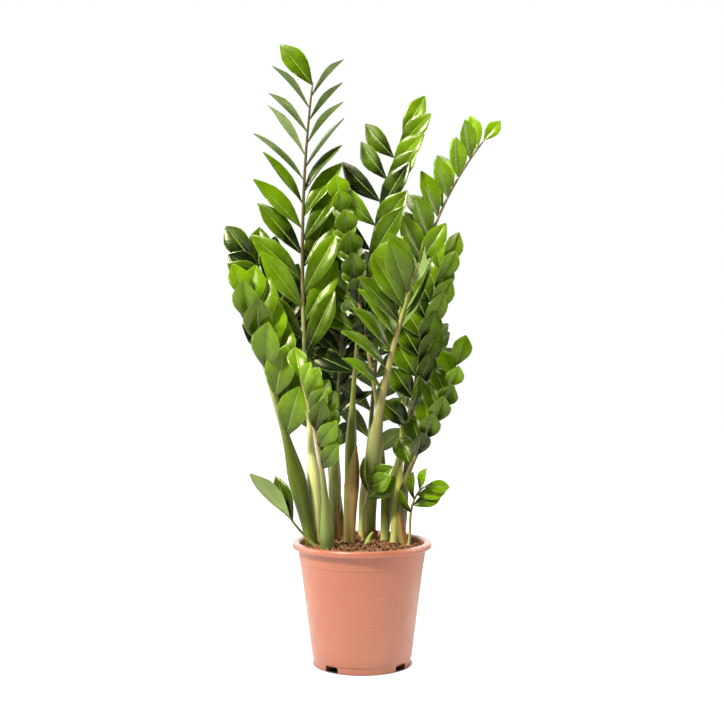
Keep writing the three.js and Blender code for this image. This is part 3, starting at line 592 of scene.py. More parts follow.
FRONDS = {
    "frond_front": dict(
        route=((14, 50, 180), (18.5, -8, 322), (41.5, -56, 458), (83, -98, 602)),
        stem=(8, 12.5, 150, 9.6), facing=(6, 6), gaze=(-8, 74), leaves=(17, 0.55), fallen=(1, 3, 5),
        size=(102, 41), angle=(48, 44), open=(1, 0.36), lift=(12, 8), twist=(68, 6),
        crown=(16, 0.7, 24), droop=14, seed=4,
        petiole=(142, 150, 84), rachis=(186, 172, 108), foot=(190, 200, 84), flecks=0.2, tone=0.6,
    ),
    "frond_short": dict(
        route=((-51, -42, 180), (-55.5, -50, 266), (-68, -59, 350), (-91, -68, 436)),
        stem=(11, 11.4, 16, 5.8), facing=(80, 80), gaze=(14, 10), leaves=(12, 0.46), size=(62, 32),
        angle=(50, 50), lift=(50, 52), twist=(14, 18), crown=(28, 0.9), droop=14, seed=9,
        petiole=(122, 138, 70), rachis=(186, 160, 116), foot=(104, 124, 62), flecks=0.25, tone=0.62,
    ),
    "frond_left": dict(
        route=((-77, -6, 180), (-110, -12, 327), (-145, -26, 449), (-173, -44, 553)),
        stem=(8.4, 14.2, 78, 7.4), facing=(80, 56), gaze=(0, 16), leaves=(11, 0.37), size=(92, 48),
        angle=(38, 34), open=(1, 0.8), lift=(64, 36), twist=(4, 8), crown=(-8, 0.6), seed=7,
        petiole=(84, 98, 22), rachis=(168, 176, 104), foot=(124, 144, 40), flecks=0.15, tone=0.64,
        fresher=0.1,
    ),
    "frond_right_low": dict(
        route=((64, 3, 180), (67, 2, 276), (103, -2, 352), (143, -8, 456)),
        stem=(5.8, 6.8, 60, 4), facing=(-74, -50), gaze=(-6, 8), leaves=(12, 0.42), size=(54, 36),
        angle=(48, 36), open=(1, 0.9), lift=(40, 34), twist=(8, 12), crown=(6, 0.85), seed=6,
        petiole=(118, 112, 62), rachis=(150, 128, 84), flecks=0.7, tone=0.55,
    ),
    "frond_centre_near": dict(
        route=((34, 14, 180), (27, 18, 355), (-2, 2, 530), (-34, -10, 702)),
        stem=(6.8, 7.2, 40, 4), facing=(96, 92), gaze=(0, 0), leaves=(12, 0.6), size=(50, 41),
        angle=(50, 34), lift=(4, 4), twist=(6, 6), crown=(-12, 0.9), droop=10, fold=10, seed=10,
        petiole=(124, 132, 50), rachis=(160, 134, 96), flecks=0.3, tone=0.4,
    ),
    "frond_tall_left": dict(
        route=((-65, 6, 180), (-84, 14, 413), (-91, 20, 647), (-74, 18, 892)),
        stem=(8, 10.8, 92, 5), facing=(8, 8), gaze=(0, 4), leaves=(23, 0.36), size=(110, 36),
        angle=(42, 42), open=(1, 0.7), lift=(12, 2), twist=(2, 92), crown=(-44, 0.74, 0, 1.3), droop=9,
        fold=16, seed=1,
        petiole=(230, 234, 152), rachis=(96, 84, 52), flecks=0.1, tone=0.42, fresher=-0.2,
    ),
    "frond_tall_centre": dict(
        route=((-19, 6, 180), (-14, 16, 395), (10, 40, 610), (68, 56, 818)),
        stem=(7, 9, 150, 4.8), facing=(-24, -24), gaze=(-56, -4), leaves=(19, 0.4), size=(100, 40),
        angle=(38, 32), open=(1.7, 1), lift=(18, 14), twist=(8, 6), crown=(8, 0.7), droop=10, seed=2,
        petiole=(112, 122, 44), rachis=(120, 98, 70), tone=0.32, fresher=0.1,
    ),
    "frond_tall_right": dict(
        route=((49, 10, 180), (64, 34, 392), (95, 56, 608), (200, 60, 812)),
        stem=(7.4, 8.2, 44, 4.4), facing=(-84, -84), gaze=(0, 8), leaves=(20, 0.44), size=(80, 36),
        angle=(56, 46), lift=(60, 56), twist=(4, 4), crown=(4, 0.5), droop=10, seed=3,
        petiole=(196, 200, 88), rachis=(176, 150, 112), tone=0.8,
    ),
    "frond_right": dict(
        route=((61, 42, 180), (71, 30, 325), (90, 12, 472), (126, 0, 610)),
        stem=(6.6, 7.2, 55, 4.4), facing=(-20, -20), gaze=(-10, 30), leaves=(18, 0.4), size=(66, 38),
        angle=(46, 32), open=(1, 0.55), lift=(10, 10), twist=(10, 10), crown=(10, 0.8), seed=5,
        petiole=(92, 92, 46), rachis=(110, 96, 62), flecks=0.6, tone=0.42,
    ),
    "frond_centre_far": dict(
        route=((-39, 60, 180), (-41, 58, 333), (-32, 66, 480), (-31, 74, 611)),
        stem=(7.4, 10.2, 78, 4.8), facing=(170, 170), gaze=(60, 290), leaves=(17, 0.42), size=(78, 30),
        angle=(48, 38), lift=(10, 8), twist=(40, 60), crown=(4, 0.8), seed=11,
        petiole=(168, 174, 96), rachis=(88, 70, 50), tone=0.1,
    ),
    "frond_left_far": dict(
        route=((-64, 46, 180), (-117, 60, 335), (-130, 66, 490), (-174, 62, 618)),
        stem=(7, 9.6, 60, 5.2), facing=(20, 10), gaze=(-20, 20), leaves=(15, 0.5), fallen=(0,),
        size=(84, 44), angle=(46, 34), lift=(10, 10), twist=(30, 10), crown=(-5, 0.92), seed=8,
        petiole=(104, 116, 50), rachis=(92, 82, 52), tone=0.0,
    ),
    "frond_back_left": dict(
        route=((-30, 80, 180), (-52, 88, 320), (-62, 98, 452), (-66, 108, 562)),
        stem=(6.6, 9, 60, 4.8), facing=(186, 186), gaze=(180, 190), leaves=(18, 0.32), size=(74, 34),
        angle=(48, 32), lift=(14, 12), twist=(14, 16), crown=(6, 0.8), seed=12,
        petiole=(112, 124, 56), rachis=(120, 104, 70), tone=0.15,
    ),
    "frond_back": dict(
        route=((0, 74, 180), (12, 80, 330), (24, 90, 482), (32, 98, 612)),
        stem=(6.8, 9.2, 64, 5), facing=(174, 174), gaze=(176, 170), leaves=(20, 0.28), size=(78, 34),
        angle=(48, 32), lift=(14, 12), twist=(14, 16), crown=(-6, 0.8), seed=13,
        petiole=(120, 132, 60), rachis=(124, 108, 72), tone=0.1,
    ),
    "frond_back_right": dict(
        route=((36, 72, 180), (58, 82, 300), (84, 90, 410), (104, 96, 498)),
        stem=(6.4, 8.2, 54, 4.6), facing=(150, 150), gaze=(160, 140), leaves=(15, 0.4), size=(70, 33),
        angle=(48, 32), lift=(14, 12), twist=(14, 16), crown=(6, 0.8), seed=14,
        petiole=(116, 126, 58), rachis=(122, 104, 70), tone=0.2,
    ),
    "sprig_left": dict(
        route=((-70, -28, 180), (-84, -31, 195), (-96, -33, 209), (-107, -36, 224)),
        stem=(2.4, 2.4, 6, 2), facing=(-20, -20), gaze=(160, -10), leaves=(6, 0.6), fallen=(0, 1, 2, 4),
        size=(76, 30), angle=(24, 10), lift=(-60, -70), twist=(4, 4), crown=(-5, 1.16, 150), seed=15,
        petiole=(110, 104, 60), rachis=(110, 104, 60), flecks=0.5, tone=0.4,
    ),
    "sprig_front": dict(
        route=((2, 6, 180), (1.5, 2, 212), (6, -4, 246), (13.5, -10, 271)),
        stem=(2.2, 2.2, 6, 1.9), facing=(-20, -20), gaze=(-80, 10), leaves=(5, 0.55), size=(60, 36),
        angle=(26, 40), open=(0.6, 1.3), lift=(14, 14), twist=(4, 4), crown=(24, 0.78, -10), droop=10,
        fold=10, seed=16,
        petiole=(150, 140, 84), rachis=(150, 134, 90), flecks=0.5, tone=0.45,
    ),
    "sprig_right": dict(
        route=((70, -16, 180), (72, -18, 212), (76, -21, 243), (94, -23, 269)),
        stem=(2.2, 2.2, 6, 1.9), facing=(16, 16), gaze=(-64, 10), leaves=(6, 0.5), size=(46, 24),
        angle=(52, 44), open=(0.7, 1.2), lift=(12, 10), twist=(10, 10), crown=(40, 0.9), droop=10,
        fold=10, seed=17,
        petiole=(140, 126, 72), rachis=(140, 126, 72), flecks=0.5, tone=0.6,
    ),
}
BURIED = 34
STEM_SIDES = 16
STEM_RINGS = 52
STEM_TIP = 1.5
STEM_END = 0.987
SWELL_ABOVE = 46
SKIN_INSET = 0.97
ROOT_TAPER = 0.004
# Painted light and shade on the stems: the skin colour is made paler on the side that faces left,
# towards the key light, and darker on the side that faces right.
PAINTED_LIT_SIDE = 1.24
PAINTED_SHADE_SIDE = 0.56
SKIN_STREAK = (92, 104, 30)
SKIN_FLECK = (84, 58, 44)
SKIN_ATTRIBUTES = {"skin_colour_side_shaded": "FLOAT_COLOR", "lengthwise": "FLOAT_VECTOR", "flecked": "FLOAT"}


class Route:
    """The smooth curve through four points at 0, 1/3, 2/3 and 1 of its way."""

    def __init__(self, points):
        a, b, c, d = (Vector(point) for point in points)
        self.ends = (a, (-5 * a + 18 * b - 9 * c + 2 * d) / 6, (2 * a - 9 * b + 18 * c - 5 * d) / 6, d)
        places = [self.point(i / 200) for i in range(201)]
        self.length = sum((q - p).length for p, q in zip(places, places[1:]))

    def point(self, t):
        a, b, c, d = self.ends
        s = 1 - t
        return a * s**3 + b * 3 * s * s * t + c * 3 * s * t * t + d * t**3

    def tangent(self, t):
        a, b, c, d = self.ends
        s = 1 - t
        return ((b - a) * s * s + (c - b) * 2 * s * t + (d - c) * t * t).normalized()


def smooth_share(value, low, high):
    """0 below low, 1 above high, and a smooth rise between them."""
    share = min(1, max(0, (value - low) / (high - low)))
    return share * share * (3 - 2 * share)


def between(pair, share):
    """What lies at a share of the way from the first of a pair to the second."""
    return pair[0] + (pair[1] - pair[0]) * share


def stem_radius(stem, along, length):
    """The petiole's and the rachis's radius at a length along the stem above the soil."""
    foot, bulb, bulb_height, neck = stem

    def taper(at):
        return STEM_TIP + (neck - STEM_TIP) * max(1 - at / length, 0) ** 0.9

    if along < bulb_height:
        return foot + (bulb - foot) * smooth_share(along, 0, bulb_height)
    fade = (along - bulb_height) / SWELL_ABOVE
    return taper(along) + (bulb - taper(bulb_height)) * math.exp(-fade * fade)


def out_of(tangent, around):
    """The direction out of a stem at an angle around it."""
    sideways = Vector((1, 0, 0)).cross(tangent).normalized()
    return sideways * math.cos(around) + tangent.cross(sideways) * math.sin(around)


def turn_faces_out():
    """Makes the faces of the active piece look outward."""
    bpy.ops.object.mode_set(mode="EDIT")
    bpy.ops.mesh.select_all(action="SELECT")
    bpy.ops.mesh.normals_make_consistent(inside=False)
    bpy.ops.object.mode_set(mode="OBJECT")


def attribute(tree, name, output):
    """What a mesh attribute holds."""
    return add_node(tree, "ShaderNodeAttribute", {"attribute_name": name}).outputs[output]


def stem_material():
    material, tree, shader = new_material(
        "stem_skin", Specular_IOR_Level=0.2, Coat_Weight=0.3, Coat_Roughness=0.12
    )
    # This attribute holds the skin's own colours with painted light and shade across each stem: paler
    # facing left, darker facing right.
    own = attribute(tree, "skin_colour_side_shaded", "Color")
    lengthwise = attribute(tree, "lengthwise", "Vector")
    streaks = patches(tree, lengthwise, 420.0, 4.0, 0.35, 0.7)
    skin = tinted(tree, own, streaks, 0.35, SKIN_STREAK)
    place = object_place(tree)
    flecks = patches(tree, place, 520.0, 3.0, 0.56, 0.62)
    blotches = patches(tree, stretched(tree, place, (1, 1, 0.45)), 120.0, 4.0, 0.48, 0.66)
    brown = calculate(tree, "MAXIMUM", flecks, blotches)
    brown = calculate(tree, "MULTIPLY", brown, attribute(tree, "flecked", "Fac"))
    skin = blend_colours(tree, brown, skin, colour(*SKIN_FLECK))
    fine = grain(tree, lengthwise, 900.0, 0.00004)
    surface(tree, shader, skin, scaled(tree, streaks, 0.12, 0.3), fine)
    return material


stem_blank = added(
    bpy.ops.mesh.primitive_cylinder_add,
    "stem_blank",
    vertices=STEM_SIDES,
    radius=1,
    depth=1,
    location=(0, 0, 0.5),
)
bpy.ops.object.transform_apply(location=True, rotation=True, scale=True)
bpy.ops.object.mode_set(mode="EDIT")
bpy.ops.mesh.select_mode(type="EDGE")
bpy.ops.mesh.select_all(action="DESELECT")
bpy.ops.object.mode_set(mode="OBJECT")
corners = stem_blank.data.vertices
for edge in stem_blank.data.edges:
    edge.select = abs(corners[edge.vertices[0]].co.z - corners[edge.vertices[1]].co.z) > 0.5
bpy.ops.object.mode_set(mode="EDIT")
bpy.ops.mesh.subdivide(number_cuts=STEM_RINGS - 1)
bpy.ops.object.mode_set(mode="OBJECT")

skin = stem_material()
fronds = {name: {**USUAL, **own} for name, own in FRONDS.items()}
routes = {name: Route(frond["route"]) for name, frond in fronds.items()}
for name, frond in fronds.items():
    route = routes[name]
    stem = copy_of(stem_blank)
    stem.name = name + "_stem"
    mesh = stem.data
    for label, kind in SKIN_ATTRIBUTES.items():
        mesh.attributes.new(label, kind, "POINT")
    colours, lengthwise, flecked = (mesh.attributes[label].data for label in SKIN_ATTRIBUTES)
    foot, petiole, rachis = (Vector(colour(*frond[part])) for part in ("foot", "petiole", "rachis"))
    for vertex in mesh.vertices:
        around = math.atan2(vertex.co.y, vertex.co.x)
        along = -BURIED + (BURIED + route.length * STEM_END) * vertex.co.z
        t = max(along, 0) / route.length
        tangent = route.tangent(t)
        out = out_of(tangent, around)
        radius = stem_radius(frond["stem"], along, route.length)
        radius *= SKIN_INSET + min(along, 0) * ROOT_TAPER
        radius *= 1 - 0.5 * smooth_share(t, 0.96, 1)
        uneven = Vector((math.cos(around), math.sin(around), along * 0.05 + frond["seed"]))
        radius += 0.12 * noise.noise(uneven)
        vertex.co = (route.point(t) + tangent * min(along, 0) + out * radius) * MM
        tint = foot.lerp(petiole, smooth_share(along, -4, 40))
        tint = tint.lerp(rachis, smooth_share(t, 0.3, 0.62))
        # Painted light and shade: the skin is paler where it faces left, towards the key light, and
        # darker where it faces right.
        painted_side_light = between((PAINTED_LIT_SIDE, PAINTED_SHADE_SIDE), smooth_share(out.x, -0.7, 0.9))
        colours[vertex.index].color = (*(min(part * painted_side_light, 1) for part in tint[:3]), 1)
        lengthwise[vertex.index].vector = out * radius * MM + Vector((0, 0, along * 0.05 * MM))
        flecked[vertex.index].value = frond["flecks"] * (0.3 + 0.7 * smooth_share(t, 0.12, 0.5))
    take_up(stem)
    turn_faces_out()
    bpy.ops.object.shade_smooth()
    finish_piece(stem, "leaf", skin, name)
bpy.data.objects.remove(stem_blank)


# ---------------------------------------------------------------- leaflets
# The fleshy, glossy leaflets that stand in two rows on each rachis. Each blade is folded at its
# rib, bows along its length and ends in a point. They sit where the frame's solid blades are.

LEAF_SEGMENTS = 8
LEAF_RINGS = 11
LEAF_WIDEST_POWER = 1.25
LEAF_ROUNDNESS = 0.68
LEAF_GAZE_UP = 0.3
LEAF_SPACING_POWER = 0.84
LAST_LEAF_SHARE = 0.98
LEAF_THICKNESS = 0.55
LEAF_ARCH = 0.09
LEAF_WAVE = 0.8
LEAF_FOLD_MORE = 0.12
LEAF_EDGE_THINNING = 0.55
LEAF_TIP_SLIM = 0.3
LEAF_FOOT_SLIM = 0.2
LEAF_OLD = (8, 24, 2)
LEAF_FRESH = (126, 168, 0)
LEAF_VEIN = (150, 186, 30)
LEAF_RIB = (168, 198, 92)
LEAF_MARGIN = (156, 188, 70)
UNDERSIDE_OLD = (48, 72, 24)
UNDERSIDE_FRESH = (162, 188, 112)
UNDERSIDE_VEIN = (156, 182, 100)
UNDERSIDE_RIB = (170, 192, 112)
SIDE_VEINS = 13.0
LEAF_TIP_SLACK = 0.05

# How leaflets differ from each other: the number of the draw, and how far it goes either way.
LEAF_SPREADS = dict(
    angle=(1, 5), twist=(2, 7), lift=(3, 5), length=(4, 0.07), width=(5, 0.06), droop=(6, 7),
    fold=(7, 4), gaze=(8, 10), tone=(12, 0.28),
)

# How a leaflet gives way to its neighbours: it bends by so many degrees, and then gets shorter.
BENDS = (0, 9, -9, 18, -18, 28, -28, 40, -40, 54, -54)
SHORTENINGS = (1, 0.8, 0.62)


def draw(i, k):
    """A repeatable draw from 0 to 1 for the k-th choice about item i."""
    s = math.sin(i * 12.9898 + k * 78.233) * 43758.5453
    return s - math.floor(s)


def level(azimuth):
    """The level direction at an azimuth."""
    return Vector((math.sin(math.radians(azimuth)), -math.cos(math.radians(azimuth)), 0))


def square_to(axis, direction):
    """The part of a direction that is square to another, at unit length."""
    return (direction - axis * axis.dot(direction)).normalized()


class Leaflet:
    """Where a leaflet sits on its frond, how it is turned, and the shape of its blade."""

    def __init__(self, frond, route, i):
        count, start = frond["leaves"]
        share = i / (count - 1)
        t = start + (LAST_LEAF_SHARE - start) * share**LEAF_SPACING_POWER
        last = i == count - 1
        turn = smooth_share(share, 0.3, 0.72)
        lean, crown_size = frond["crown"][:2]
        self.number = frond["seed"] * 31 + i
        self.side = (1 if lean > 0 else -1) if last else (1 if i % 2 else -1)
        row = 1 if self.side > 0 else 0
        profile = crown_size if last else 0.76 + 0.24 * math.sin(math.pi * min(1, 0.22 + share * 0.9))
        self.root = route.point(t)
        self.along = route.tangent(t)
        self.share = share
        self.facing = between(frond["facing"], share)
        self.gaze = frond["crown"][2] if last and len(frond["crown"]) > 2 else frond["gaze"][row]
        self.gaze += self.jitter("gaze")
        angle = between(frond["angle"], share) * frond["open"][row] + self.jitter("angle")
        self.angle = abs(lean) if last else angle
        self.twist = 0 if last else between(frond["twist"], turn) + self.jitter("twist")
        self.lift = 0 if last else between(frond["lift"], share) + self.jitter("lift")
        self.length = frond["size"][0] * profile * (1 + self.jitter("length"))
        breadth = frond["crown"][3] if last and len(frond["crown"]) > 3 else 1
        self.width = frond["size"][1] * breadth * (0.25 + 0.75 * profile) * (1 + self.jitter("width"))
        self.droop = math.radians(frond["droop"] + self.jitter("droop"))
        self.fold = math.radians(frond["fold"] + self.jitter("fold"))

    def jitter(self, what):
        """How far this leaflet is from the frond's own value."""
        k, spread = LEAF_SPREADS[what]
        return (draw(self.number, k) - 0.5) * 2 * spread

    def turn(self, bend, size):
        """Sets the blade's directions and size for one way of giving way to its neighbours."""
        angle, twist, lift = (math.radians(a) for a in (self.angle, self.twist, self.lift + bend))
        face = square_to(self.along, level(self.facing))
        outward = self.along.cross(face) * self.side
        away = outward * math.cos(lift) + face * math.sin(lift)
        self.rib = (self.along * math.cos(angle) + away * math.sin(angle)).normalized()
        look = (level(self.gaze) + Vector((0, 0, LEAF_GAZE_UP))).normalized()
        self.normal = square_to(self.rib, look * math.cos(twist) + self.along * math.sin(twist))
        self.across = self.normal.cross(self.rib)
        self.size = size

    def point(self, u, v, h, slim=1):
        """A point of the blade: u along it, v from -1 to 1 across it, and h out of its face."""
        length = self.length * self.size
        outline = max(math.sin(math.pi * u**LEAF_WIDEST_POWER), 0) ** LEAF_ROUNDNESS
        half = self.width / 2 * math.sqrt(self.size) * outline * slim * v
        forward = length * math.sin(self.droop * u) / self.droop
        down = length * (1 - math.cos(self.droop * u)) / self.droop
        normal = self.normal * math.cos(self.droop * u) + self.rib * math.sin(self.droop * u)
        return (
            self.root
            + self.rib * forward
            - self.normal * down
            + self.across * (half * math.cos(self.fold))
            + normal * (abs(half) * math.sin(self.fold) + h)
        )

    def living_point(self, u, v, h):
        """The same, with arched halves, a waved margin and a drawn-out tip and foot."""
        width = self.width * math.sqrt(self.size)
        arch = LEAF_ARCH * width * 4 * abs(v) * (1 - abs(v)) * math.sin(math.pi * u)
        wave = LEAF_WAVE * v * v * math.sin(math.tau * (1.4 * u + draw(self.number, 11)) + v)
        folded = LEAF_FOLD_MORE * width / 2 * abs(v) * math.sin(math.pi * u)
        thick = LEAF_THICKNESS * (1 - LEAF_EDGE_THINNING * v * v) * h
        at_tip = 1 - LEAF_TIP_SLIM * smooth_share(u, 0.7, 0.97)
        at_foot = 1 - LEAF_FOOT_SLIM * (1 - smooth_share(u, 0, 0.45))
        return self.point(u, v, arch + folded + wave + thick, at_tip * at_foot)


def leaf_material():
    material, tree, shader = new_material(
        "leaf_gloss", Specular_IOR_Level=0.5, Specular_Tint=(1, 1, 0.65, 1)
    )
    blade = add_node(tree, "ShaderNodeUVMap", {"uv_map": "blade"}).outputs["UV"]
    parts = add_node(tree, "ShaderNodeSeparateXYZ", Vector=blade).outputs
    along = parts["X"]
    from_rib = calculate(tree, "ABSOLUTE", scaled(tree, parts["Y"], 2.0, -1.0))
    tone = attribute(tree, "tone", "Fac")
    place = object_place(tree)
    clouded = patches(tree, place, 34.0, 4.0, 0.3, 0.7)
    freshness_and_foot_shade = calculate(tree, "ADD", tone, scaled(tree, clouded, 0.3, -0.15))
    # Painted shade: each leaflet is darker towards its foot, where the leaflets above shade it.
    freshness_and_foot_shade = calculate(tree, "ADD", freshness_and_foot_shade, ramp(tree, along, 0.0, 0.6, -0.45, 0.0))
    upper = two_tones(tree, freshness_and_foot_shade, LEAF_OLD, LEAF_FRESH)

    # Side veins run out from the rib towards the tip.
    lean = scaled(tree, from_rib, -0.2, along)
    vein = calculate(tree, "PINGPONG", scaled(tree, lean, SIDE_VEINS), 0.5)
    veins = ramp(tree, vein, 0.0, 0.12, 1.0, 0.0)
    upper = tinted(tree, upper, veins, 0.07, LEAF_VEIN)

    # The rib gets narrower towards the tip, and the margin is pale too.
    rib_width = scaled(tree, along, -0.045, 0.065)
    rib = calculate(tree, "SUBTRACT", 1.0, calculate(tree, "DIVIDE", from_rib, rib_width))
    rib = ramp(tree, rib, 0.0, 0.5)
    upper = tinted(tree, upper, rib, 0.75, LEAF_RIB)
    upper = tinted(tree, upper, ramp(tree, from_rib, 0.93, 1.0), 0.6, LEAF_MARGIN)

    pale = scaled(tree, clouded, 0.3, tone)
    lower = two_tones(tree, pale, UNDERSIDE_OLD, UNDERSIDE_FRESH)
    lower = tinted(tree, lower, veins, 0.15, UNDERSIDE_VEIN)
    lower = blend_colours(tree, rib, lower, colour(*UNDERSIDE_RIB))
    under = attribute(tree, "underside", "Fac")
    body = blend_colours(tree, under, upper, lower)
    roughness = scaled(tree, under, 0.2, scaled(tree, clouded, 0.14, 0.19))

    height = scaled(tree, veins, -0.08, rib)
    height = scaled(tree, patches(tree, place, 80.0, 2.0, 0.2, 0.8), 0.9, height)
    relief = add_node(tree, "ShaderNodeBump", Height=height, Distance=0.0004, Strength=0.8)
    surface(tree, shader, body, roughness, relief.outputs["Normal"])
    return material


def seated(leaf, corners):
    """Turns a leaflet until its tip is a corner of the solid, and says whether it ever is."""
    for size in SHORTENINGS:
        for bend in BENDS:
            leaf.turn(bend, size)
            if corners.find(leaf.point(1, 0, 0) * MM)[2] < LEAF_TIP_SLACK * MM:
                return True
    return False


# The blank holds leaf coordinates: u from base to tip, v across, and h, 1 on the upper face and -1 on
# the lower one.
leaf_blank = added(
    bpy.ops.mesh.primitive_uv_sphere_add,
    "leaf_blank",
    segments=LEAF_SEGMENTS,
    ring_count=LEAF_RINGS,
    radius=1,
)
mesh = leaf_blank.data
for vertex in mesh.vertices:
    x, y, z = vertex.co
    reach = math.hypot(x, y)
    vertex.co = ((1 - z) / 2, x / reach if reach > 0.01 else 0, y / reach if reach > 0.01 else 0)
for layer in list(mesh.uv_layers):
    mesh.uv_layers.remove(layer)
blade_map = mesh.uv_layers.new(name="blade")
for loop in mesh.loops:
    u, v, h = mesh.vertices[loop.vertex_index].co
    blade_map.data[loop.index].uv = (u, (v + 1) / 2)
underside = mesh.attributes.new("underside", "FLOAT", "FACE")
for polygon in mesh.polygons:
    underside.data[polygon.index].value = 1.0 if polygon.center.z < 0 else 0.0
mesh.attributes.new("tone", "FLOAT", "FACE")
for edge in mesh.edges:
    ends = [mesh.vertices[number].co for number in edge.vertices]
    at_margin = all(abs(end.z) < 0.01 for end in ends)
    at_rib = all(abs(end.y) < 0.01 and end.z > -0.01 for end in ends)
    edge.use_edge_sharp = at_margin or at_rib
blank_points = [tuple(vertex.co) for vertex in mesh.vertices]

green = leaf_material()
for name, frond in fronds.items():
    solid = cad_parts[name].data
    corners = kdtree.KDTree(len(solid.vertices))
    for vertex in solid.vertices:
        corners.insert(vertex.co, vertex.index)
    corners.balance()
    blades = []
    for i in range(frond["leaves"][0]):
        leaf = Leaflet(frond, routes[name], i)
        if i in frond["fallen"]:
            continue
        if not seated(leaf, corners):
            # The solid has no such blade, or its tip lies inside another part of the frond.
            print("no blade for", name, i)
            continue
        blade = copy_of(leaf_blank)
        for vertex, (u, v, h) in zip(blade.data.vertices, blank_points):
            vertex.co = leaf.living_point(u, v, h) * MM
        tone = frond["tone"] + leaf.jitter("tone") + frond["fresher"] * (leaf.share - 0.5)
        for value in blade.data.attributes["tone"].data:
            value.value = tone
        blades.append(blade)
    leaflets = joined(name + "_leaflets", blades)
    turn_faces_out()
    bpy.ops.object.shade_smooth(keep_sharp_edges=True)
    finish_piece(leaflets, "leaf", green, name)
bpy.data.objects.remove(leaf_blank)


# ---------------------------------------------------------------- dry sheaths
# Papery cataphylls that once wrapped the young fronds. They are dry, fibrous and torn, and still
# clasp the foot of some petioles.

# For each: the frond, the height, the azimuth of the middle of the wrap, how wide it is at the foot
# in degrees, how far its tip peels away, and the seed of its torn edge.
SHEATHS = {
    "sheath_tall": ("frond_tall_centre", 148, 22, 210, 9, 1),
    "sheath_collar": ("frond_front", 24, 10, 250, 2, 2),
    "sheath_left": ("frond_tall_left", 56, 36, 70, 1, 3),
    "sheath_centre": ("frond_centre_far", 52, 20, 100, 4, 4),
    "sheath_right": ("frond_right_low", 44, -20, 140, 3, 5),
}
SHEATH_ROOT = 10
SHEATH_GAP = 0.8
SHEATH_THICKNESS = 0.6
SHEATH_COLUMNS = 16
SHEATH_ROWS = 34
SHEATH_STRAW = (216, 190, 118)
SHEATH_STRAND = (172, 140, 78)
SHEATH_GREENISH = (164, 164, 84)
SHEATH_RUST = (160, 70, 36)


def sheath_material():
    material, tree, shader = new_material("dry_sheath", Specular_IOR_Level=0.3)
    place = add_node(tree, "ShaderNodeUVMap", {"uv_map": "UVMap"}).outputs["UV"]
    across = add_node(tree, "ShaderNodeSeparateXYZ", Vector=place).outputs["X"]
    lengthwise = stretched(tree, place, (26, 2.2, 1))
    strands = patches(tree, lengthwise, 1.6, 5.0, 0.35, 0.65)
    body = two_tones(tree, strands, SHEATH_STRAW, SHEATH_STRAND)
    body = tinted(tree, body, ramp(tree, across, 0.5, 0.05), 0.65, SHEATH_GREENISH)
    rust = patches(tree, lengthwise, 3.0, 3.0, 0.3, 0.55)
    rust = calculate(tree, "MULTIPLY", ramp(tree, across, 0.6, 0.72), rust)
    body = blend_colours(tree, rust, body, colour(*SHEATH_RUST))
    relief = add_node(tree, "ShaderNodeBump", Height=strands, Distance=0.0006)
    surface(tree, shader, body, scaled(tree, strands, 0.2, 0.55), relief.outputs["Normal"])
    return material


papery = sheath_material()
for name, (wrapped, height, middle, wrap, peel, seed) in SHEATHS.items():
    route = routes[wrapped]
    cells = dict(x_subdivisions=SHEATH_COLUMNS, y_subdivisions=SHEATH_ROWS)
    sheath = added(bpy.ops.mesh.primitive_grid_add, name + "_paper", size=1, **cells)
    for vertex in sheath.data.vertices:
        column, share = vertex.co.x, vertex.co.y + 0.5
        along = -SHEATH_ROOT + (height + SHEATH_ROOT) * share
        t = max(along, 0) / route.length
        station = share * 6
        low = int(min(station, 5))
        ragged = draw(seed, low) + (draw(seed, low + 1) - draw(seed, low)) * (station - low)
        narrow = max(1 - share**1.6, 0.06) * (1 + 0.12 * (ragged - 0.5))
        stem_skin = stem_radius(fronds[wrapped]["stem"], along, route.length)
        reach = stem_skin * 1.03 + SHEATH_GAP + peel * share**2
        crumpled = noise.noise(Vector((column * 3, share * 5, seed * 7.0)))
        torn = 0.05 * crumpled + 0.04 * noise.noise(Vector((share * 22, column * 2, seed * 3.0)))
        torn *= 0.2 + 2 * abs(column)
        azimuth = math.radians(middle - 90 + wrap * narrow * (column + torn))
        out = square_to(route.tangent(t), Vector((math.cos(azimuth), math.sin(azimuth), 0)))
        curl = 1.4 * abs(2 * column) ** 3 * share
        place = route.point(t) + route.tangent(t) * min(along, 0)
        vertex.co = (place + out * (reach + 0.4 + 0.5 * crumpled * share + curl)) * MM
    wall = sheath.modifiers.new("wall", "SOLIDIFY")
    wall.thickness = SHEATH_THICKNESS * MM
    wall.offset = 0
    bpy.ops.object.modifier_apply(modifier=wall.name)
    turn_faces_out()
    bpy.ops.object.shade_smooth_by_angle(angle=math.radians(50))
    finish_piece(sheath, "dry_sheath", papery, name)


# ---------------------------------------------------------------- new shoot
# A young shoot that has just broken the soil: a rolled spear, bright green, still without leaves.

SHOOT_ROUTE = ((6, -5, 172), (8, -7, 181), (11, -9, 190), (17, -11, 199))
SHOOT_RADIUS = 4.6
SHOOT_GREEN = (158, 190, 62)
SHOOT_STREAK = (196, 212, 112)


def shoot_material():
    material, tree, shader = new_material("shoot_skin", Specular_IOR_Level=0.5)
    place = object_place(tree)
    streaks = patches(tree, stretched(tree, place, (1, 1, 0.2)), 300.0, 3.0, 0.35, 0.65)
    body = two_tones(tree, streaks, SHOOT_GREEN, SHOOT_STREAK)
    surface(tree, shader, body, scaled(tree, streaks, 0.1, 0.34), grain(tree, place, 500.0, 0.0003))
    return material


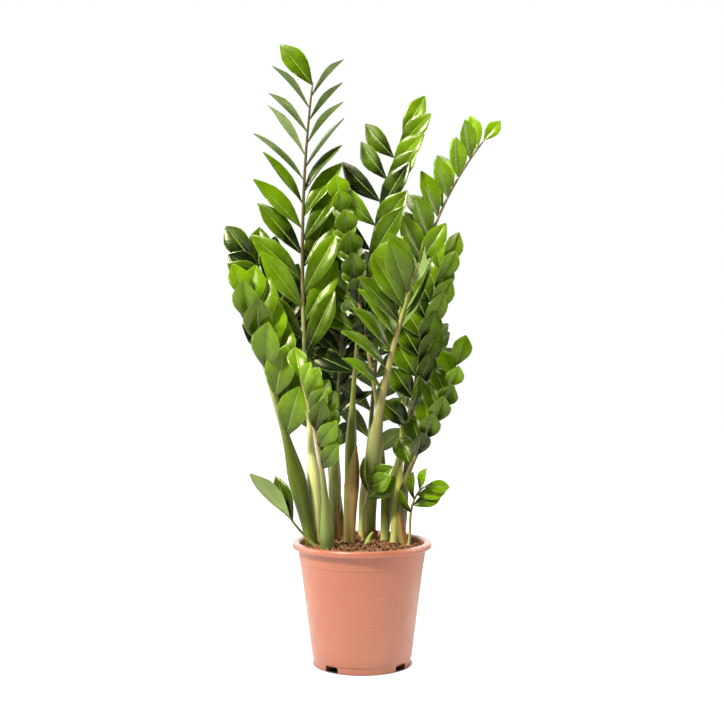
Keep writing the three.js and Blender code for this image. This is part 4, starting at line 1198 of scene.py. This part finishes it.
shoot = added(
    bpy.ops.mesh.primitive_uv_sphere_add, "new_shoot_spear", segments=20, ring_count=20, radius=1
)
route = Route(SHOOT_ROUTE)
for vertex in shoot.data.vertices:
    x, y, z = vertex.co
    t = (1 - z) / 2
    around = math.atan2(y, x)
    rolled = 1 + 0.1 * smooth_share(math.cos(around - 4 * t), 0.3, 1)
    radius = SHOOT_RADIUS * (1 - t * t * 0.8) * rolled * min(1, math.hypot(x, y) * 2.2)
    vertex.co = (route.point(t) + out_of(route.tangent(t), around) * radius) * MM
turn_faces_out()
bpy.ops.object.shade_smooth()
finish_piece(shoot, "shoot", shoot_material(), "new_shoot")


# ---------------------------------------------------------------- floor and light
# A white studio floor under a white surround, with large soft lights at the front and above.

FLOOR_SIZE = 12
LIGHT_COLOUR = (1.0, 0.97, 0.9)
LIGHT_TARGET = (0, 0, 0.45)

# For each: the place, the size, the power, and whether it shows in glossy surfaces.
LIGHTS = {
    "key_left": ((-1.2, -1.5, 2.2), 0.5, 104, True),
    "fill_right": ((1.7, -1.6, 1.0), 1.2, 12, False),
    "side_left": ((-2.0, 0.1, 0.8), 1.4, 21, True),
    "side_right": ((2.0, 0.1, 0.8), 1.4, 19, True),
    "overhead": ((0.0, 0.1, 2.3), 1.2, 24, True),
}

floor = added(bpy.ops.mesh.primitive_plane_add, "studio_floor", size=FLOOR_SIZE)
paper, tree, shader = new_material("studio_white", Roughness=0.8, Emission_Color=(1, 1, 1, 1))
pot_foot = POT_FOOT_RADIUS * MM
from_pot = add_node(tree, "ShaderNodeVectorMath", {"operation": "LENGTH"})
tree.links.new(object_place(tree), from_pot.inputs[0])
from_pot = from_pot.outputs["Value"]
# Painted shadow: the floor's colour goes from grey-white to near black under the pot's foot, where it
# lies in shade.
painted_shadow_floor = ramp(tree, from_pot, pot_foot - 0.0025, pot_foot + 0.0015, 0.01, 0.55)
tree.links.new(painted_shadow_floor, shader.inputs["Base Color"])
rays = tree.nodes.new("ShaderNodeLightPath").outputs
mirrored = ramp(tree, from_pot, 0.3, 0.7, 0.55, 0.1)
mirrored = calculate(tree, "MULTIPLY", rays["Is Glossy Ray"], mirrored)
seen = calculate(tree, "MAXIMUM", rays["Is Camera Ray"], mirrored)
open_floor = ramp(tree, from_pot, pot_foot + 0.001, pot_foot + 0.0065)
glow = calculate(tree, "MULTIPLY", open_floor, seen)
tree.links.new(glow, shader.inputs["Emission Strength"])
floor.data.materials.append(paper)

for name, (place, size, power, in_gloss) in LIGHTS.items():
    light = added(bpy.ops.object.light_add, name, type="AREA", location=place)
    light.data.shape = "DISK"
    light.data.size = size
    light.data.energy = power
    light.data.color = LIGHT_COLOUR
    light.visible_glossy = in_gloss
    towards_plant = Vector(LIGHT_TARGET) - light.location
    light.rotation_euler = towards_plant.to_track_quat("-Z", "Y").to_euler()

# The surround is white behind the plant and dark in front of it and above it. It is brighter in the
# gloss of the leaves than in the light that it gives them.
surround = bpy.data.worlds.new("surround")
surround.use_nodes = True
sky = surround.node_tree
backdrop = sky.nodes["Background"]
backdrop.inputs["Color"].default_value = (1, 1, 1, 1)
sky_rays = sky.nodes.new("ShaderNodeLightPath").outputs
behind = add_node(sky, "ShaderNodeVectorMath", {"operation": "DOT_PRODUCT"})
sky.links.new(sky.nodes.new("ShaderNodeTexCoord").outputs["Generated"], behind.inputs[0])
behind.inputs[1].default_value = (0, 1, -0.5)
behind = behind.outputs["Value"]
shed = ramp(sky, behind, -0.1, 0.6, 0.005, 0.05)
shone = ramp(sky, behind, -0.4, 0.4, 0.03, 2.0)
shone = calculate(sky, "MULTIPLY", sky_rays["Is Glossy Ray"], shone)
brightness = calculate(sky, "MAXIMUM", shed, shone)
brightness = calculate(sky, "MAXIMUM", brightness, sky_rays["Is Camera Ray"])
sky.links.new(brightness, backdrop.inputs["Strength"])
bpy.context.scene.world = surround
